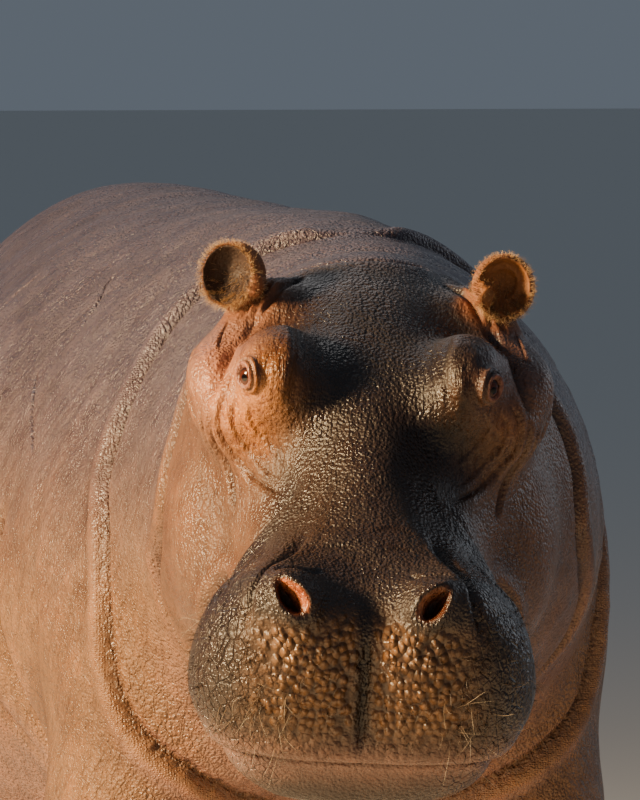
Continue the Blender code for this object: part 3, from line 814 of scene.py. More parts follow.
def make_ear(word, side):
    """A round cup with a rolled rim, ridged inside, on a short stem."""
    tilted = ear_frame(word, side)
    root = on_side(EAR_ROOT, side)
    lobe = tilted @ Vector((-side * 0.004, 0.012, -0.026))
    parts = [ball(EAR_RADII, tilted @ Matrix.Translation((0.0, 0.004, 0.0)), 48, 32)]
    for step in range(7):
        share = step / 6.0
        thick = Vector((0.024, 0.026, 0.024)).lerp(Vector((0.027, 0.022, 0.026)), share)
        parts.append(ball(thick, Matrix.Translation(root.lerp(lobe, share))))
    ear = joined(parts, f"ear_{word}_clay")
    carry_out(ear, "REMESH", mode="VOXEL", voxel_size=EAR_VOXELS[0])
    carry_out(ear, "SMOOTH", factor=0.5, iterations=8)
    cup = ball(EAR_CUP_RADII, ear_cup_frame(word, side), 64, 40)
    carry_out(ear, "BOOLEAN", object=cup, operation="DIFFERENCE", solver="EXACT")
    bpy.data.objects.remove(cup)
    tragus = ball(TRAGUS, tilted @ Matrix.Translation((-side * 0.034, -0.01, -0.01)))
    ear = joined([ear, tragus], ear.name)
    carry_out(ear, "REMESH", mode="VOXEL", voxel_size=EAR_VOXELS[1])
    carry_out(ear, "SMOOTH", factor=0.5, iterations=5)
    shape = Hide(ear)
    local = in_frame(shape.points, ear_cup_frame(word, side))
    share = lengths_of(local / np.array(EAR_CUP_RADII))
    inside = smooth_step(1.14, 1.02, share) * smooth_step(0.012, 0.0, -local[:, 1] - 0.012)
    angle = np.arctan2(local[:, 0] * side, local[:, 2])
    radial = np.hypot(local[:, 0] / EAR_CUP_RADII.x, local[:, 2] / EAR_CUP_RADII.z)
    ring = bell(radial - 0.56 - 0.1 * np.cos(angle), 0.1)
    ridges = EAR_RIDGE[word] * ring * smooth_step(-0.6, 0.5, np.sin(angle + 0.5))
    ridges += 0.0014 * np.cos(11.0 * angle + 9.0 * radial) * smooth_step(0.9, 2.2, np.abs(angle - 0.4))
    shape.push(ridges * inside)
    shape.write()
    return ear


def sculpt(folds, hide):
    """Works the folds, the face and the feet into the hide."""
    loosen_skin(hide)
    hide.write()
    for fold in folds:
        near, lifted, _ = fold.lift(hide.points)
        hide.push(lifted, near)
    hide.write()
    part_lips(hide)
    for word, side in SIDES:
        open_eye(hide, word, side)
        open_nostril(hide, side)
    hide.write()
    beyond = [bell(eye_coordinates(hide.points, word, side)[2] - 3.0, 0.6) for word, side in SIDES]
    hide.smooth(14, np.maximum(*beyond))
    raise_warts(hide)
    shape_toes(hide)
    hide.points = made_uneven(hide.points)
    hide.write()
    hide.smooth(1, 0.6)


def drop_scraps(obj):
    """Opens the few faces folded back on themselves and drops loose scraps; returns what is left."""
    with editing(obj, None):
        bpy.ops.mesh.select_mode(type="EDGE")
        bpy.ops.mesh.select_all(action="SELECT")
        bpy.ops.mesh.dissolve_degenerate(threshold=SLIVER)
        bpy.ops.mesh.select_all(action="DESELECT")
        bpy.ops.mesh.edges_select_sharp(sharpness=FOLDED_BACK)
        bpy.ops.mesh.vertices_smooth(factor=0.5, repeat=8)
        bpy.ops.mesh.select_all(action="SELECT")
        bpy.ops.mesh.separate(type="LOOSE")
    *scraps, largest = sorted(bpy.context.selected_objects, key=lambda piece: len(piece.data.polygons))
    for scrap in scraps:
        bpy.data.objects.remove(scrap)
    return largest


def make_hide():
    """The whole hide, and the folds drawn on it."""
    hide = Hide(melt_together())
    soften(hide)
    model_forms(hide)
    folds = all_folds()
    surface = hide.surface()
    for fold in folds:
        fold.lay(surface)
    refine_for(hide, folds)
    sculpt(folds, hide)
    obj = hide.obj
    for word, side in SIDES:
        ear = make_ear(word, side)
        carry_out(obj, "BOOLEAN", object=ear, operation="UNION", solver="EXACT")
        bpy.data.objects.remove(ear)
    obj.data.calc_loop_triangles()
    ratio = HIDE_TRIANGLES / len(obj.data.loop_triangles)
    if ratio < 1.0:
        carry_out(obj, "DECIMATE", ratio=ratio, use_collapse_triangulate=True)
    obj = drop_scraps(obj)
    only(obj)
    bpy.ops.object.shade_smooth()
    return obj, folds


# ---- colours laid on the hide

BACK = (0.077, 0.061, 0.084)
FLANK = (0.215, 0.112, 0.054)
BELLY = (0.29, 0.155, 0.118)
CROWN = (0.018, 0.013, 0.012)
FACE = (0.026, 0.015, 0.011)
CHEEK = (0.142, 0.07, 0.038)
EYE_SKIN = (0.5, 0.186, 0.032)
EYE_FRINGE = (0.56, 0.24, 0.13)
PADS = (0.03, 0.018, 0.013)
WARTY = (0.235, 0.12, 0.052)
LIPS = (0.28, 0.14, 0.095)
# The nostril's lining; the left one is a painted-shade copy of the right, darker and duller.
NOSTRIL_LINING_AND_SHADE = {"right": np.array((0.64, 0.19, 0.06))}
NOSTRIL_LINING_AND_SHADE["left"] = NOSTRIL_LINING_AND_SHADE["right"] * (0.45, 0.6, 0.9)
LID_MARGIN = (0.3, 0.12, 0.08)
EAR_SKIN = (0.22, 0.082, 0.034)
PLEATS = (0.3, 0.13, 0.06)
# Inside the ear cups: orange on the right; the left cup's near black is painted shade.
EAR_CUP_AND_SHADE = {"left": (0.3, 0.12, 0.036), "right": (0.032, 0.014, 0.008)}
# Painted shade for the mouth's groove, the slit between the lids and the creases between the lid rings.
CREASE_SHADE = np.array((0.3, 0.16, 0.11))


def spot(local, place, radii):
    """One at a place in the head's frame, in millimetres, on both sides, fading over the radii."""
    there = np.stack((np.abs(local[:, 0]), local[:, 1], local[:, 2])) - np.array(place)[:, None] / 1000
    return np.exp(-sum((part / (radius / 1000)) ** 2 for part, radius in zip(there, radii)))


def ear_shares(points, word, side):
    """How far each point belongs to an ear, and how far to the inside of its cup."""
    local = in_frame(points, ear_frame(word, side))
    on_ear = smooth_step(1.75, 1.15, lengths_of(local / np.array(EAR_RADII)))
    cup = in_frame(points, ear_cup_frame(word, side)) / np.array(EAR_CUP_RADII)
    return on_ear, smooth_step(1.1, 1.03, lengths_of(cup))


# Painted shade on the left side of the face: how much darker the skin round the left eye and ear is painted
# than on the right.
LEFT_PAINTED_SHADE = 0.74


def hide_colours(points, outward, local):
    """The hide's colour at every point, painted shade included: coats laid one over the other, each by its own
    share.
    """
    z, back, height = points[:, 2], local[:, 1], local[:, 2]
    side = np.abs(local[:, 0])
    inner = smooth_step(0.0, 0.8, -outward[:, 0] * np.sign(points[:, 0])) * smooth_step(0.75, 0.5, z)
    head = smooth_step(0.34, 0.22, back)
    mask = head * smooth_step(0.2, 0.125, side + 0.25 * np.maximum(-0.06 - height, 0.0))
    left_shade = LEFT_PAINTED_SHADE * smooth_step(-0.05, 0.05, local[:, 0])
    lip = lip_distance(local)[0]
    coats = [
        (BACK, smooth_step(0.72, 1.3, z + 0.12 * outward[:, 2])),
        (BELLY, smooth_step(-0.2, -0.9, outward[:, 2]) * smooth_step(0.2, 0.5, z)),
        (BELLY, 0.7 * inner),
        (CHEEK, head * smooth_step(0.04, -0.06, height)),
        (FACE, mask * smooth_step(0.1, -0.06, back) * smooth_step(-0.4, -0.25, height)),
        (CROWN, mask * smooth_step(-0.14, 0.02, back) * smooth_step(-0.2, -0.02, height)),
        (PADS, smooth_step(-0.11, -0.19, back - 0.1 * (height + 0.1))),
        (WARTY, 0.9 * warty_share(local)),
        # the orange skin round the eye and ear, dulled on the left by painted shade
        (EYE_SKIN, (0.95 - left_shade) * spot(local, (172, -26, -50), (50, 60, 62))),
        (EYE_SKIN, (0.9 - left_shade) * spot(local, (150, -30, 14), (42, 50, 40))),
        (EYE_FRINGE, (0.85 - left_shade) * spot(local, (196, 70, -40), (44, 75, 55))),
        # painted shade in the hollow beside each eye turret
        (CROWN, 0.8 * spot(local, (82, -10, 50), (26, 80, 30))),
        (PLEATS, (0.9 - 1.2 * left_shade) * spot(local, (160, 180, 15), (44, 60, 45))),
        (LIPS, 0.8 * bell(lip, 0.034) * smooth_step(-0.06, -0.14, back)),
        # painted shade in the mouth's groove
        (CREASE_SHADE * 0.5, bell(lip, 0.006) * smooth_step(-0.08, -0.12, back)),
    ]
    for word, turn in SIDES:
        length, across, depth = nostril_coordinates(points, turn)
        out = np.sqrt(length**2 + across**2)
        near = np.abs(depth) < 0.06
        radius, fissure = eye_coordinates(points, word, turn)[1:3]
        lids = radius < 0.045
        on_ear, cup = ear_shares(points, word, turn)
        coats += [
            (PADS, near * 0.8 * bell(out - 1.45, 0.4)),
            # painted shade inside the nostril
            (NOSTRIL_LINING_AND_SHADE["right"] * 0.12, near * smooth_step(1.2, 1.02, out)),
            # the nostril's lining, dulled on the left by painted shade
            (NOSTRIL_LINING_AND_SHADE[word], near * smooth_step(1.08, 0.98, out) * smooth_step(-0.15, 0.35, -across * turn)),
            (LID_MARGIN, lids * bell(fissure - 1.05, 0.2)),
            # painted shade in the lids' slit and between the lid rings
            (CREASE_SHADE * 0.4, 0.8 * (radius < 0.03) * smooth_step(1.0, 0.85, fissure)),
            (CREASE_SHADE * 0.5, 0.7 * lids * bell(fissure - 1.54, 0.11)),
            (CREASE_SHADE * 0.5, 0.7 * lids * bell(fissure - 2.18, 0.11)),
            (EAR_SKIN, on_ear),
            # the inside of the ear's cup, painted shade in the left one
            (EAR_CUP_AND_SHADE[word], on_ear * cup),
        ]
    colour = np.tile(FLANK, (len(points), 1))
    for coat, share in coats:
        share = np.clip(share, 0.0, 1.0)[:, None]
        colour = colour * (1.0 - share) + np.array(coat) * share
    return colour


def settle_values(mesh, name, values):
    """Keeps a number or a colour for each point of a mesh."""
    if values.ndim == 1:
        mesh.attributes.new(name, "FLOAT", "POINT").data.foreach_set("value", values.astype(np.float32))
        return
    kept = np.ones((len(values), 4), np.float32)
    kept[:, :3] = values
    mesh.attributes.new(name, "FLOAT_COLOR", "POINT").data.foreach_set("color", kept.ravel())


def colour_hide(obj, folds):
    """Keeps the hide's colours, the painted shade of its creases and hollows and the painted light on its
    ridges, and its kinds of skin on its points, for its material.
    """
    mesh = obj.data
    hide = Hide(obj)
    points, outward = hide.points.copy(), hide.outward.copy()
    even = made_uneven(points, -1.0)
    local = in_head(even)
    warty = warty_share(local)
    crease_shade, supple, downy, beads = np.zeros((4, len(points)))
    # How deep in a fold's groove each point lies, for the painted shade of the creases.
    for fold in folds:
        near, _, groove = fold.lift(even)
        crease_shade[near] = np.maximum(crease_shade[near], groove * min(1.0, fold.depth / fold.width))
    for word, side in SIDES:
        radius, fissure = eye_coordinates(even, word, side)[1:3]
        length, across, height = nostril_coordinates(even, side)
        inside = (np.abs(height) < 0.06) * smooth_step(1.5, 1.0, np.hypot(length, across))
        on_ear = ear_shares(points, word, side)[0]
        downy = np.maximum(downy, on_ear)
        supple = np.maximum.reduce([supple, 0.8 * smooth_step(3.0, 1.6, fissure), inside, 0.8 * on_ear,
                                    0.6 * smooth_step(0.12, 0.06, radius)])
    supple = np.maximum.reduce([supple, 0.9 * spot(local, (172, -40, -80), (80, 90, 75)),
                                0.8 * spot(local, (150, 190, 20), (60, 80, 50))])
    for fold in folds[NECK_RING:NECK_RING + 2]:
        near, distance, across = fold.reach(even, 0.06)
        band = smooth_step(0.004, 0.01, across) * smooth_step(0.046, 0.03, across) * (distance < 0.06)
        beads[near] = np.maximum(beads[near], band * smooth_step(1.32, 1.2, even[near, 2]))
    tint = hide_colours(even, outward, local)
    # How far smoothing lifts each point: positive in hollows, which are painted with shade, negative on
    # ridges, which are painted lighter.
    hide.smooth(8)
    hollow_shade_and_ridge_light = ((hide.points - points) * outward).sum(1)
    hide.points = points
    hide.write()
    aside = np.abs(local[:, 0]) - 0.16 * (local[:, 2] + 0.2)
    pads = smooth_step(-0.16, -0.24, local[:, 1]) * smooth_step(0.1, 0.16, aside)
    for name, values in (("tint", tint), ("crease_shade", crease_shade), ("hollow_shade_and_ridge_light", np.clip(hollow_shade_and_ridge_light / 0.0025, -1.0, 1.0)),
                         ("warty", warty), ("pads", pads), ("supple", supple), ("downy", downy),
                         ("beads", beads), ("headward", smooth_step(0.34, 0.22, local[:, 1]))):
        settle_values(mesh, name, values)
    spread = mesh.attributes.new("face_place", "FLOAT_VECTOR", "POINT")
    spread.data.foreach_set("vector", local.astype(np.float32).ravel())


def unrolled(points):
    """Where points of the hide lie when it is opened along the belly and laid flat, in a unit square."""
    around = np.arctan2(points[:, 0], points[:, 2] - 0.75) / pi
    along = (points[:, 1] + 1.7) / 3.4
    return np.stack((0.5 + 0.49 * around, 0.01 + 0.98 * along), 1)


# ---- finishes


class Wire:
    """A number on its way through a material, so that its maths reads as maths."""

    def __init__(self, finish, socket):
        self.finish = finish
        self.socket = socket

    def worked(self, operation, *terms):
        node = self.finish.tree.nodes.new("ShaderNodeMath")
        node.operation = operation
        for entry, term in zip(node.inputs, terms):
            self.finish.feed(entry, term)
        return Wire(self.finish, node.outputs[0])

    def __add__(self, other):
        return self.worked("ADD", self, other)

    def __sub__(self, other):
        return self.worked("SUBTRACT", self, other)

    def __rsub__(self, other):
        return self.worked("SUBTRACT", other, self)

    def __mul__(self, other):
        return self.worked("MULTIPLY", self, other)

    __radd__ = __add__
    __rmul__ = __mul__

    def within(self, low, high):
        """Nought below the low end, one above the high end, smooth between."""
        settings = {"interpolation_type": "SMOOTHSTEP"}
        inputs = {"Value": self, "From Min": low, "From Max": high}
        return self.finish.add("ShaderNodeMapRange", settings, "Result", inputs)


class Finish:
    """A material, mixed from nodes on its Principled shader."""

    def __init__(self, name, **constants):
        self.material = bpy.data.materials.new(name)
        self.material.use_nodes = True
        self.tree = self.material.node_tree
        self.shader = self.tree.nodes["Principled BSDF"]
        for socket, value in constants.items():
            self.shader.inputs[socket.replace("_", " ")].default_value = value

    def feed(self, entry, value):
        if isinstance(value, Wire):
            self.tree.links.new(value.socket, entry)
        else:
            entry.default_value = value

    def add(self, kind, settings=(), output=0, inputs=()):
        """A node with its settings and inputs, and a wire from one of its outputs."""
        node = self.tree.nodes.new(kind)
        for name, value in dict(settings).items():
            setattr(node, name, value)
        for name, value in dict(inputs).items():
            self.feed(node.inputs[name], value)
        return Wire(self, node.outputs[output])

    def place(self, stretch=(1.0, 1.0, 1.0), source=None, turn=(0.0, 0.0, 0.0)):
        """The object's own places, or another source's, stretched and turned."""
        source = source or self.add("ShaderNodeTexCoord", (), "Object")
        return self.add("ShaderNodeMapping", (), 0, {"Vector": source, "Scale": stretch, "Rotation": turn})

    def value(self, name, output="Fac"):
        return self.add("ShaderNodeAttribute", {"attribute_name": name}, output)

    def clouds(self, where, scale, detail=3.0, roughness=0.55):
        inputs = {"Vector": where, "Scale": scale, "Detail": detail, "Roughness": roughness}
        return self.add("ShaderNodeTexNoise", (), 0, inputs)

    def cells(self, where, scale, feature="F1", randomness=1.0, **inputs):
        inputs.update(Vector=where, Scale=scale, Randomness=randomness)
        return self.add("ShaderNodeTexVoronoi", {"feature": feature}, "Distance", inputs)

    def mixed(self, share, first, second, how="MIX"):
        settings = {"data_type": "RGBA", "blend_type": how}
        return self.add("ShaderNodeMix", settings, 2, {0: share, 6: first, 7: second})

    def shaded(self, colour, *shades):
        """A colour multiplied by others, each by its own share."""
        for share, tone in shades:
            colour = self.mixed(share, colour, (*tone, 1.0), "MULTIPLY")
        return colour

    def finish(self, colour=None, roughness=None, relief=None, depth=0.001):
        if colour is not None:
            self.feed(self.shader.inputs["Base Color"], colour)
        if roughness is not None:
            self.feed(self.shader.inputs["Roughness"], roughness)
        if relief is not None:
            bump = self.add("ShaderNodeBump", (), 0, {"Height": relief, "Distance": depth, "Strength": 1.0})
            self.feed(self.shader.inputs["Normal"], bump)
        return self.material


def hide_finish():
    """Wet hide: pebbled and slack on the body, finely streaked on the face, bare on the lids and ears."""
    skin = Finish("hippo_hide", Specular_IOR_Level=0.48)
    where = skin.place()
    face = skin.value("face_place", "Vector")
    even = (1.0, 1.0, 1.0)
    head, warty, supple = skin.value("headward"), skin.value("warty"), skin.value("supple")
    crease_shade, hollow_shade_and_ridge_light = skin.value("crease_shade"), skin.value("hollow_shade_and_ridge_light")
    beaded, downy = skin.value("beads"), skin.value("downy")
    pads = skin.value("pads") * (1.0 - warty)
    body = 1.0 - head

    pebbles = skin.cells(where, 215.0, "SMOOTH_F1", Smoothness=0.6)
    grain = skin.clouds(where, 480.0, 2.0)
    lumps = skin.clouds(where, 60.0, 4.0, 0.62)
    broad = skin.clouds(where, 7.0, 4.0, 0.6)
    blots = skin.clouds(where, 26.0, 5.0, 0.65)
    streaks = skin.clouds(skin.place((150.0, 26.0, 40.0), face), 1.0, 3.0, 0.6)
    leaning_back = skin.place(even, where, (radians(-38.0), 0.0, 0.0))
    slack = skin.clouds(skin.place((14.0, 80.0, 9.0), leaning_back), 1.0, 5.0, 0.6)
    along_bags = skin.place(even, face, (radians(45.0), 0.0, 0.0))
    pleats = skin.clouds(skin.place((120.0, 130.0, 17.0), along_bags), 1.0, 4.0, 0.62)
    pleated = supple * (1.0 - downy) + (head - warty - pads).within(0.0, 1.0) * 0.35
    net = skin.cells(skin.place((1.0, 1.0, 0.6), where), 66.0, "DISTANCE_TO_EDGE")
    netted = 1.0 - net.within(0.0, 0.09)
    knobs = skin.cells(skin.place((92.0, 60.0, 76.0), face), 1.0, "F1", 0.85)
    beads = skin.cells(skin.place((250.0, 250.0, 330.0), where), 1.0, "F1", 0.6)

    relief = lumps * (0.8 + 0.7 * body) + (0.8 - pebbles) * (1.0 + 0.35 * body) + grain * 0.25
    relief = relief + streaks * (head - warty) * 0.8 + slack * body * 2.6 - netted * (body * 0.4 + pads * 0.8)
    relief = relief * (1.0 - supple * 0.8) * (1.0 - warty * 0.75) + knobs.within(0.8, 0.1) * warty * 3.0
    relief = relief * (1.0 - beaded * 0.75) + beads.within(0.62, 0.1) * beaded * 0.45 + pleats * pleated * 2.2

    # Painted shade in the creases and hollows, less on supple skin.
    dark = ((crease_shade * 0.6 + hollow_shade_and_ridge_light.within(0.1, 1.0) * 0.6) * (1.0 - supple * 0.6)).within(0.0, 1.1)
    colour = skin.shaded(
        skin.value("tint", "Color"),
        (broad.within(0.38, 0.66) * 0.8, (0.72, 0.68, 0.68)),
        (blots.within(0.46, 0.74) * 0.55, (1.4, 1.26, 1.12)),
        (blots.within(0.52, 0.3) * 0.5, (0.62, 0.56, 0.55)),
        # painted shade in the troughs of the face's streaks
        (streaks.within(0.55, 0.35) * head * 0.35, (0.55, 0.48, 0.44)),
        # the painted shade of creases and hollows
        (dark * (1.0 - beaded * 0.5), (0.36, 0.26, 0.22)),
        # painted highlights on the neck ring's beads
        (beads.within(0.55, 0.15) * beaded * 0.6, (1.45, 1.3, 1.15)),
        # painted light on the ridges
        ((0.0 - hollow_shade_and_ridge_light).within(0.1, 1.0) * 0.5, (1.45, 1.36, 1.24)),
        # painted shade in the troughs of the pleats, the slack wrinkles and the net's cracks, and between the
        # warts' knobs
        (pleats.within(0.5, 0.34) * pleated * 0.75, (0.42, 0.27, 0.2)),
        (slack.within(0.5, 0.36) * body * 0.35, (0.5, 0.42, 0.4)),
        (netted * (body * 0.22 + pads * 0.4), (0.5, 0.42, 0.4)),
        (knobs.within(0.42, 0.78) * warty * 0.9, (0.16, 0.11, 0.08)))
    wet = 0.2 + skin.clouds(where, 17.0, 3.0).within(0.38, 0.68) * 0.22 + pebbles * 0.08
    return skin.finish(colour, wet + downy * 0.4 - pads * 0.04, relief, 0.0026)


# Where the lens stands, how it is turned and how far down it looks; the place that the lamps are aimed at and
# their distance from it; and each lamp's way there (aside, ahead, up), power, size and colour.
VIEW_PLACE = (-2.9995, -13.2626, 1.774)
VIEW_YAW = radians(-13.0)
VIEW_DIP = atan(0.0475556)
LIT_PLACE = Vector((0.0004, -0.7414, 0.9))
LAMP_DISTANCE = 5.0
LAMPS = (("key", -0.93, 0.4, 0.36, 980.0, 0.7, (1.0, 0.7, 0.37)),
         ("sky", -0.25, -0.8, 0.8, 30.0, 3.0, (1.0, 0.95, 0.92)),
         ("rim", 0.9, -0.95, 0.4, 18.0, 2.5, (0.88, 0.93, 1.0)))


def build_stage_and_view():
    """A pale floor, soft studio light and the long lens in front of the animal's right cheek."""
    bpy.ops.mesh.primitive_plane_add(size=200.0, location=(0.0, 0.0, 0.0))
    floor = bpy.context.object
    floor.name = "studio_floor"
    paper = Finish("pale_floor", Base_Color=(0.7, 0.69, 0.66, 1.0), Roughness=0.9)
    floor.data.materials.append(paper.finish())

    world = bpy.data.worlds.new("studio")
    bpy.context.scene.world = world
    world.use_nodes = True
    air = world.node_tree.nodes["Background"].inputs
    air["Color"].default_value = (0.66, 0.78, 0.95, 1.0)
    air["Strength"].default_value = 0.17

    forward = turned(VIEW_YAW) @ Vector((0.0, -1.0, 0.0))
    right = turned(VIEW_YAW) @ Vector((1.0, 0.0, 0.0))
    lens = bpy.data.cameras.new("long_lens")
    lens.lens = 405.0
    lens.sensor_width = 36.0
    lens.clip_end = 200.0
    camera = linked("long_lens", lens)
    camera.location = VIEW_PLACE
    looking = cos(VIEW_DIP) * -forward + Vector((0.0, 0.0, -sin(VIEW_DIP)))
    camera.rotation_euler = looking.to_track_quat("-Z", "Y").to_euler()
    bpy.context.scene.camera = camera

    for name, aside, ahead, up, power, size, tone in LAMPS:
        data = bpy.data.lights.new(name, "AREA")
        data.energy = power
        data.size = size
        data.color = tone
        lamp = linked(name, data)
        way = (right * aside + forward * ahead + Vector((0.0, 0.0, up))).normalized()
        lamp.location = LIT_PLACE + way * LAMP_DISTANCE
        lamp.rotation_euler = (-way).to_track_quat("-Z", "Y").to_euler()


# ---- eyes and nails


def eye_finish():
    """A dark pupil in a red-brown iris under a clear, wet cornea."""
    eye = Finish("hippo_eye", Roughness=0.09, Specular_IOR_Level=0.35)
    turn = eye.value("gaze")
    streaks = eye.clouds(eye.place(), 300.0, 3.0)
    iris = eye.mixed(streaks, (0.03, 0.007, 0.004, 1.0), (0.095, 0.024, 0.01, 1.0))
    colour = eye.mixed(turn.within(0.17, 0.24), (0.003, 0.002, 0.002, 1.0), iris)
    colour = eye.mixed(turn.within(0.4, 0.48), colour, (0.02, 0.008, 0.006, 1.0))
    return eye.finish(eye.mixed(turn.within(0.52, 0.64), colour, (0.09, 0.036, 0.026, 1.0)))


def gaze_of(side):
    """Where the eye looks, which is further forward than its lids open."""
    return (HEAD.to_3x3() @ Vector((side * 0.66, -0.7, 0.22))).normalized()


def make_eye(word, side, finish):
    """The eyeball, its cornea standing a little proud."""
    gaze = gaze_of(side)
    turn = gaze.to_track_quat("Z", "Y").to_matrix().to_4x4()
    eye = ball((EYE_RADIUS,) * 3, Matrix.Translation(middle(f"eye_{word}")) @ turn, 96, 64)
    eye.name = f"eyeball_{word}"
    points = points_of(eye.data)
    offsets, _, out, _ = eye_coordinates(points, word, side)
    facing = np.arccos(np.clip(offsets @ np.array(gaze) / EYE_RADIUS, -1.0, 1.0))
    sunk = 0.012 + 0.05 * smooth_step(1.1, 1.5, out)
    points += offsets * (0.035 * bell(facing, 0.42) - sunk)[:, None]
    eye.data.vertices.foreach_set("co", made_uneven(points).ravel())
    settle_values(eye.data, "gaze", facing)
    eye.data.update()
    finished(eye, finish)
    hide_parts(f"eye_{word}")
    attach(eye, "root")


def nail_finish():
    """Horn, ridged lengthwise, stained darker and paler in patches."""
    horn = Finish("hippo_nail", Specular_IOR_Level=0.5)
    where = horn.place((70.0, 70.0, 9.0))
    fibres = horn.clouds(where, 1.0, 4.0)
    stain = horn.clouds(horn.place(), 45.0, 3.0)
    colour = horn.mixed(stain.within(0.3, 0.7), (0.135, 0.095, 0.07, 1.0), (0.26, 0.19, 0.14, 1.0))
    return horn.finish(colour, 0.34 + fibres * 0.2, fibres, 0.0012)


NAIL_VOXEL = 0.0022


def make_nail(node, finish):
    """A nail's solid, its edges rounded."""
    nail = solid_copy(node)
    nail.name = node + "_horn"
    carry_out(nail, "REMESH", mode="VOXEL", voxel_size=NAIL_VOXEL)
    carry_out(nail, "SMOOTH", factor=0.5, iterations=8)
    finished(nail, finish)
    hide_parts(node)
    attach(nail, "root")


# ---- bristles and hair


def hair_finish(name, root, tip, roughness=0.45):
    """Hair, darker at its root than at its tip."""
    hair = Finish(name, Roughness=roughness, Specular_IOR_Level=0.6)
    colour = hair.mixed(hair.value("length_share").within(0.1, 1.0), (*root, 1.0), (*tip, 1.0))
    return hair.finish(hair.shaded(colour, (hair.value("shade") * 0.6, (0.55, 0.5, 0.45))))


def bristle_pattern():
    """One thin tapered bristle along +Z, a unit long, with three sides and a closed root."""
    bpy.ops.mesh.primitive_cone_add(vertices=3, radius1=1.0, radius2=0.12, depth=1.0, location=(0, 0, 0.5))
    bristle = bpy.context.object
    bpy.ops.object.transform_apply()
    for height in (0.25, 0.5, 0.75):
        with editing(bristle):
            bpy.ops.mesh.bisect(plane_co=(0.0, 0.0, height), plane_no=(0.0, 0.0, 1.0))
    points = points_of(bristle.data)
    faces = [tuple(face.vertices) for face in bristle.data.polygons]
    bpy.data.objects.remove(bristle)
    return points, faces


def plant_hair(name, roots, ways, lengths, radius, curl, finish, dice):
    """Joins one bristle for each root into a single piece, each bent its own way."""
    pattern, faces = bristle_pattern()
    share = np.clip(pattern[:, 2], 0.0, 1.0)
    ways = ways / lengths_of(ways)[:, None]
    helper = np.where(np.abs(ways[:, 2:3]) < 0.8, (0.0, 0.0, 1.0), (1.0, 0.0, 0.0))
    aside = np.cross(ways, helper)
    aside /= lengths_of(aside)[:, None]
    across = np.cross(ways, aside)
    spin = dice.uniform(0.0, 2.0 * pi, len(roots))[:, None]
    bend = (np.cos(spin) * aside + np.sin(spin) * across) * curl + np.array((0.0, 0.0, -0.35 * curl))
    points = roots[:, None, :] + ways[:, None, :] * (lengths[:, None] * share)[:, :, None]
    points += bend[:, None, :] * (lengths[:, None] * share**2)[:, :, None]
    round_axis = aside[:, None, :] * pattern[None, :, 0:1] + across[:, None, :] * pattern[None, :, 1:2]
    points += radius * round_axis
    count = len(pattern)
    every = [tuple(start + index for index in face) for start in range(0, count * len(roots), count)
             for face in faces]
    mesh = bpy.data.meshes.new(name)
    mesh.from_pydata(points.reshape(-1, 3).tolist(), [], every)
    settle_values(mesh, "length_share", np.tile(share, len(roots)))
    settle_values(mesh, "shade", np.repeat(dice.uniform(0.0, 1.0, len(roots)), count))
    corners = np.empty(len(mesh.loops), np.int64)
    mesh.loops.foreach_get("vertex_index", corners)
    patches = np.repeat(unrolled(roots), count, axis=0)
    patches += 0.0015 * np.tile(np.stack((pattern[:, 0], 2.0 * share - 1.0), 1), (len(roots), 1))
    mesh.uv_layers.new(name="OFBake").data.foreach_set("uv", patches[corners].astype(np.float32).ravel())
    piece = linked(name, mesh)
    with editing(piece):
        bpy.ops.mesh.normals_make_consistent(inside=False)
    finished(piece, finish)
    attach(piece, "root")


def sown(shape, dice, chosen, lean, scatter, fall, shortest, longest):
    """Roots just under the skin at the chosen points, their hairs' ways and lengths."""
    outward = shape.outward[chosen]
    ways = lean * outward + dice.normal(0.0, scatter, outward.shape) + (0.0, 0.0, -fall)
    return shape.points[chosen] - 0.001 * outward, ways, dice.uniform(shortest, longest, len(chosen))


def picked(dice, mask, number):
    """Points picked by chance, with repeats, from those the mask allows."""
    return dice.choice(np.flatnonzero(mask), number)


def plant_ear_hair(shape, dice):
    """Roots, ways and lengths of the fringe round each ear's rim, and the down on its back and in its cup."""
    for word, side in SIDES:
        cup_frame = ear_cup_frame(word, side)
        on_ear = ear_shares(shape.points, word, side)[0] > 0.97
        local = in_frame(shape.points, cup_frame)
        share = lengths_of(local / np.array(EAR_CUP_RADII))
        radial = local * (1.0, 0.0, 1.0)
        radial /= lengths_of(radial)[:, None] + 1e-9
        rim = on_ear & (share > 1.01) & (share < 1.16) & (np.hypot(local[:, 0], local[:, 2]) > 0.027)
        down = on_ear & (share > 1.12)
        lining = on_ear & (share < 1.05) & (local[:, 2] < 0.012)
        for mask, number, ahead, longest in ((rim, 1500, 0.55, 0.013), (down, 900, -0.2, 0.007),
                                             (lining, 260, 0.9, 0.012)):
            chosen = picked(dice, mask, number)
            turned_out = (0.8 * radial[chosen] + (0.0, -ahead, 0.25)) @ np.array(cup_frame.to_3x3()).T
            ways = 0.7 * shape.outward[chosen] + turned_out
            ways += dice.normal(0.0, 0.25, ways.shape)
            lengths = longest * dice.uniform(0.45, 1.0, number)
            yield shape.points[chosen] - 0.0006 * shape.outward[chosen], ways, lengths


HAIR_SEED = 11


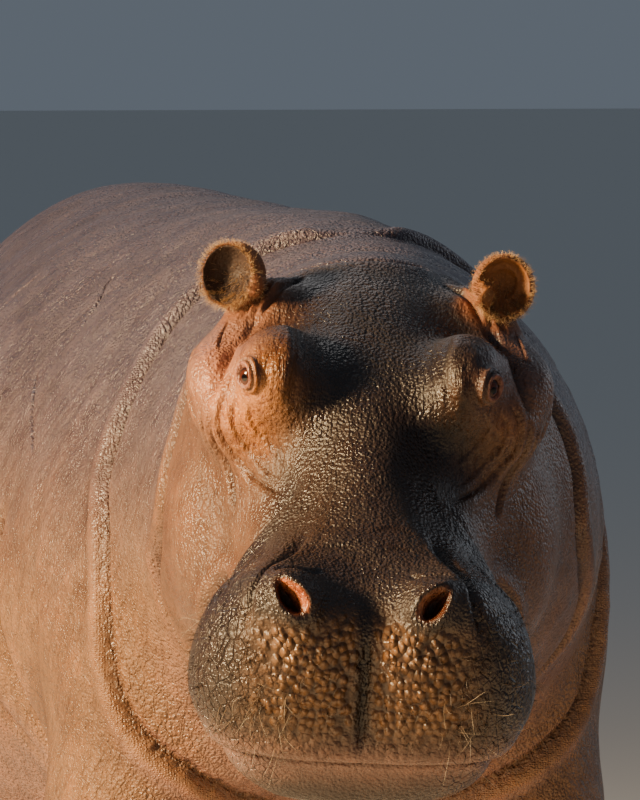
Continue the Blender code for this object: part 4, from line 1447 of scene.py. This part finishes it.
def plant_all_hair(hide):
    """The ears' golden fringes, the muzzle's bristles and the tail's."""
    shape = Hide(hide)
    dice = np.random.default_rng(HAIR_SEED)
    golden = hair_finish("ear_hair", (0.34, 0.17, 0.07), (0.85, 0.56, 0.27))
    parts = [np.concatenate(each) for each in zip(*plant_ear_hair(shape, dice))]
    plant_hair("ear_hair", *parts, 0.00024, 0.35, golden, dice)

    dark = hair_finish("short_bristles", (0.06, 0.035, 0.022), (0.16, 0.1, 0.06), 0.35)
    pale = hair_finish("long_bristles", (0.3, 0.2, 0.12), (0.75, 0.62, 0.45), 0.35)
    side, back, up = in_head(made_uneven(shape.points, -1.0)).T
    side = np.abs(side)
    front = (back < -0.3) & (up < -0.115) & (up > -0.3) & (side > 0.03)
    flanks = (back < -0.24) & (side > 0.13) & (up < -0.14) & (up > -0.3)
    chosen = np.repeat(np.concatenate((picked(dice, front, 130), picked(dice, flanks, 190))), 3)
    roots, ways, lengths = sown(shape, dice, chosen, 1.0, 0.42, 0.25, 0.01, 0.026)
    plant_hair("short_bristles", roots, ways, lengths, 0.00042, 0.45, dark, dice)

    chosen = picked(dice, (back < -0.24) & (side > 0.09) & (up < -0.2) & (up > -0.31), 60)
    roots, ways, lengths = sown(shape, dice, chosen, 1.0, 0.3, 0.0, 0.03, 0.055)
    plant_hair("long_bristles", roots, ways, lengths, 0.00045, 0.45, pale, dice)

    low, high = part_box("tail")
    x, y, z = shape.points.T
    tip = (y > low.y + 0.02) & (y > high.y - 0.12) & (np.abs(x) < 0.06)
    tip &= (z < low.z + 0.13) & (z > low.z - 0.02)
    roots, ways, lengths = sown(shape, dice, picked(dice, tip, 420), 0.35, 0.14, 1.0, 0.022, 0.05)
    plant_hair("tail_bristles", roots, ways * (1.6, 1.0, 1.0), lengths, 0.0005, 0.3, dark, dice)


# ---- the whole animal

hide, folds = make_hide()
colour_hide(hide, folds)
hide.data.materials.append(hide_finish())
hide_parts(*BODY, *EARS)
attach(hide, "root")

eye_gloss = eye_finish()
for word, side in SIDES:
    make_eye(word, side, eye_gloss)
horn = nail_finish()
for node in NAILS:
    make_nail(node, horn)

plant_all_hair(hide)

build_stage_and_view()
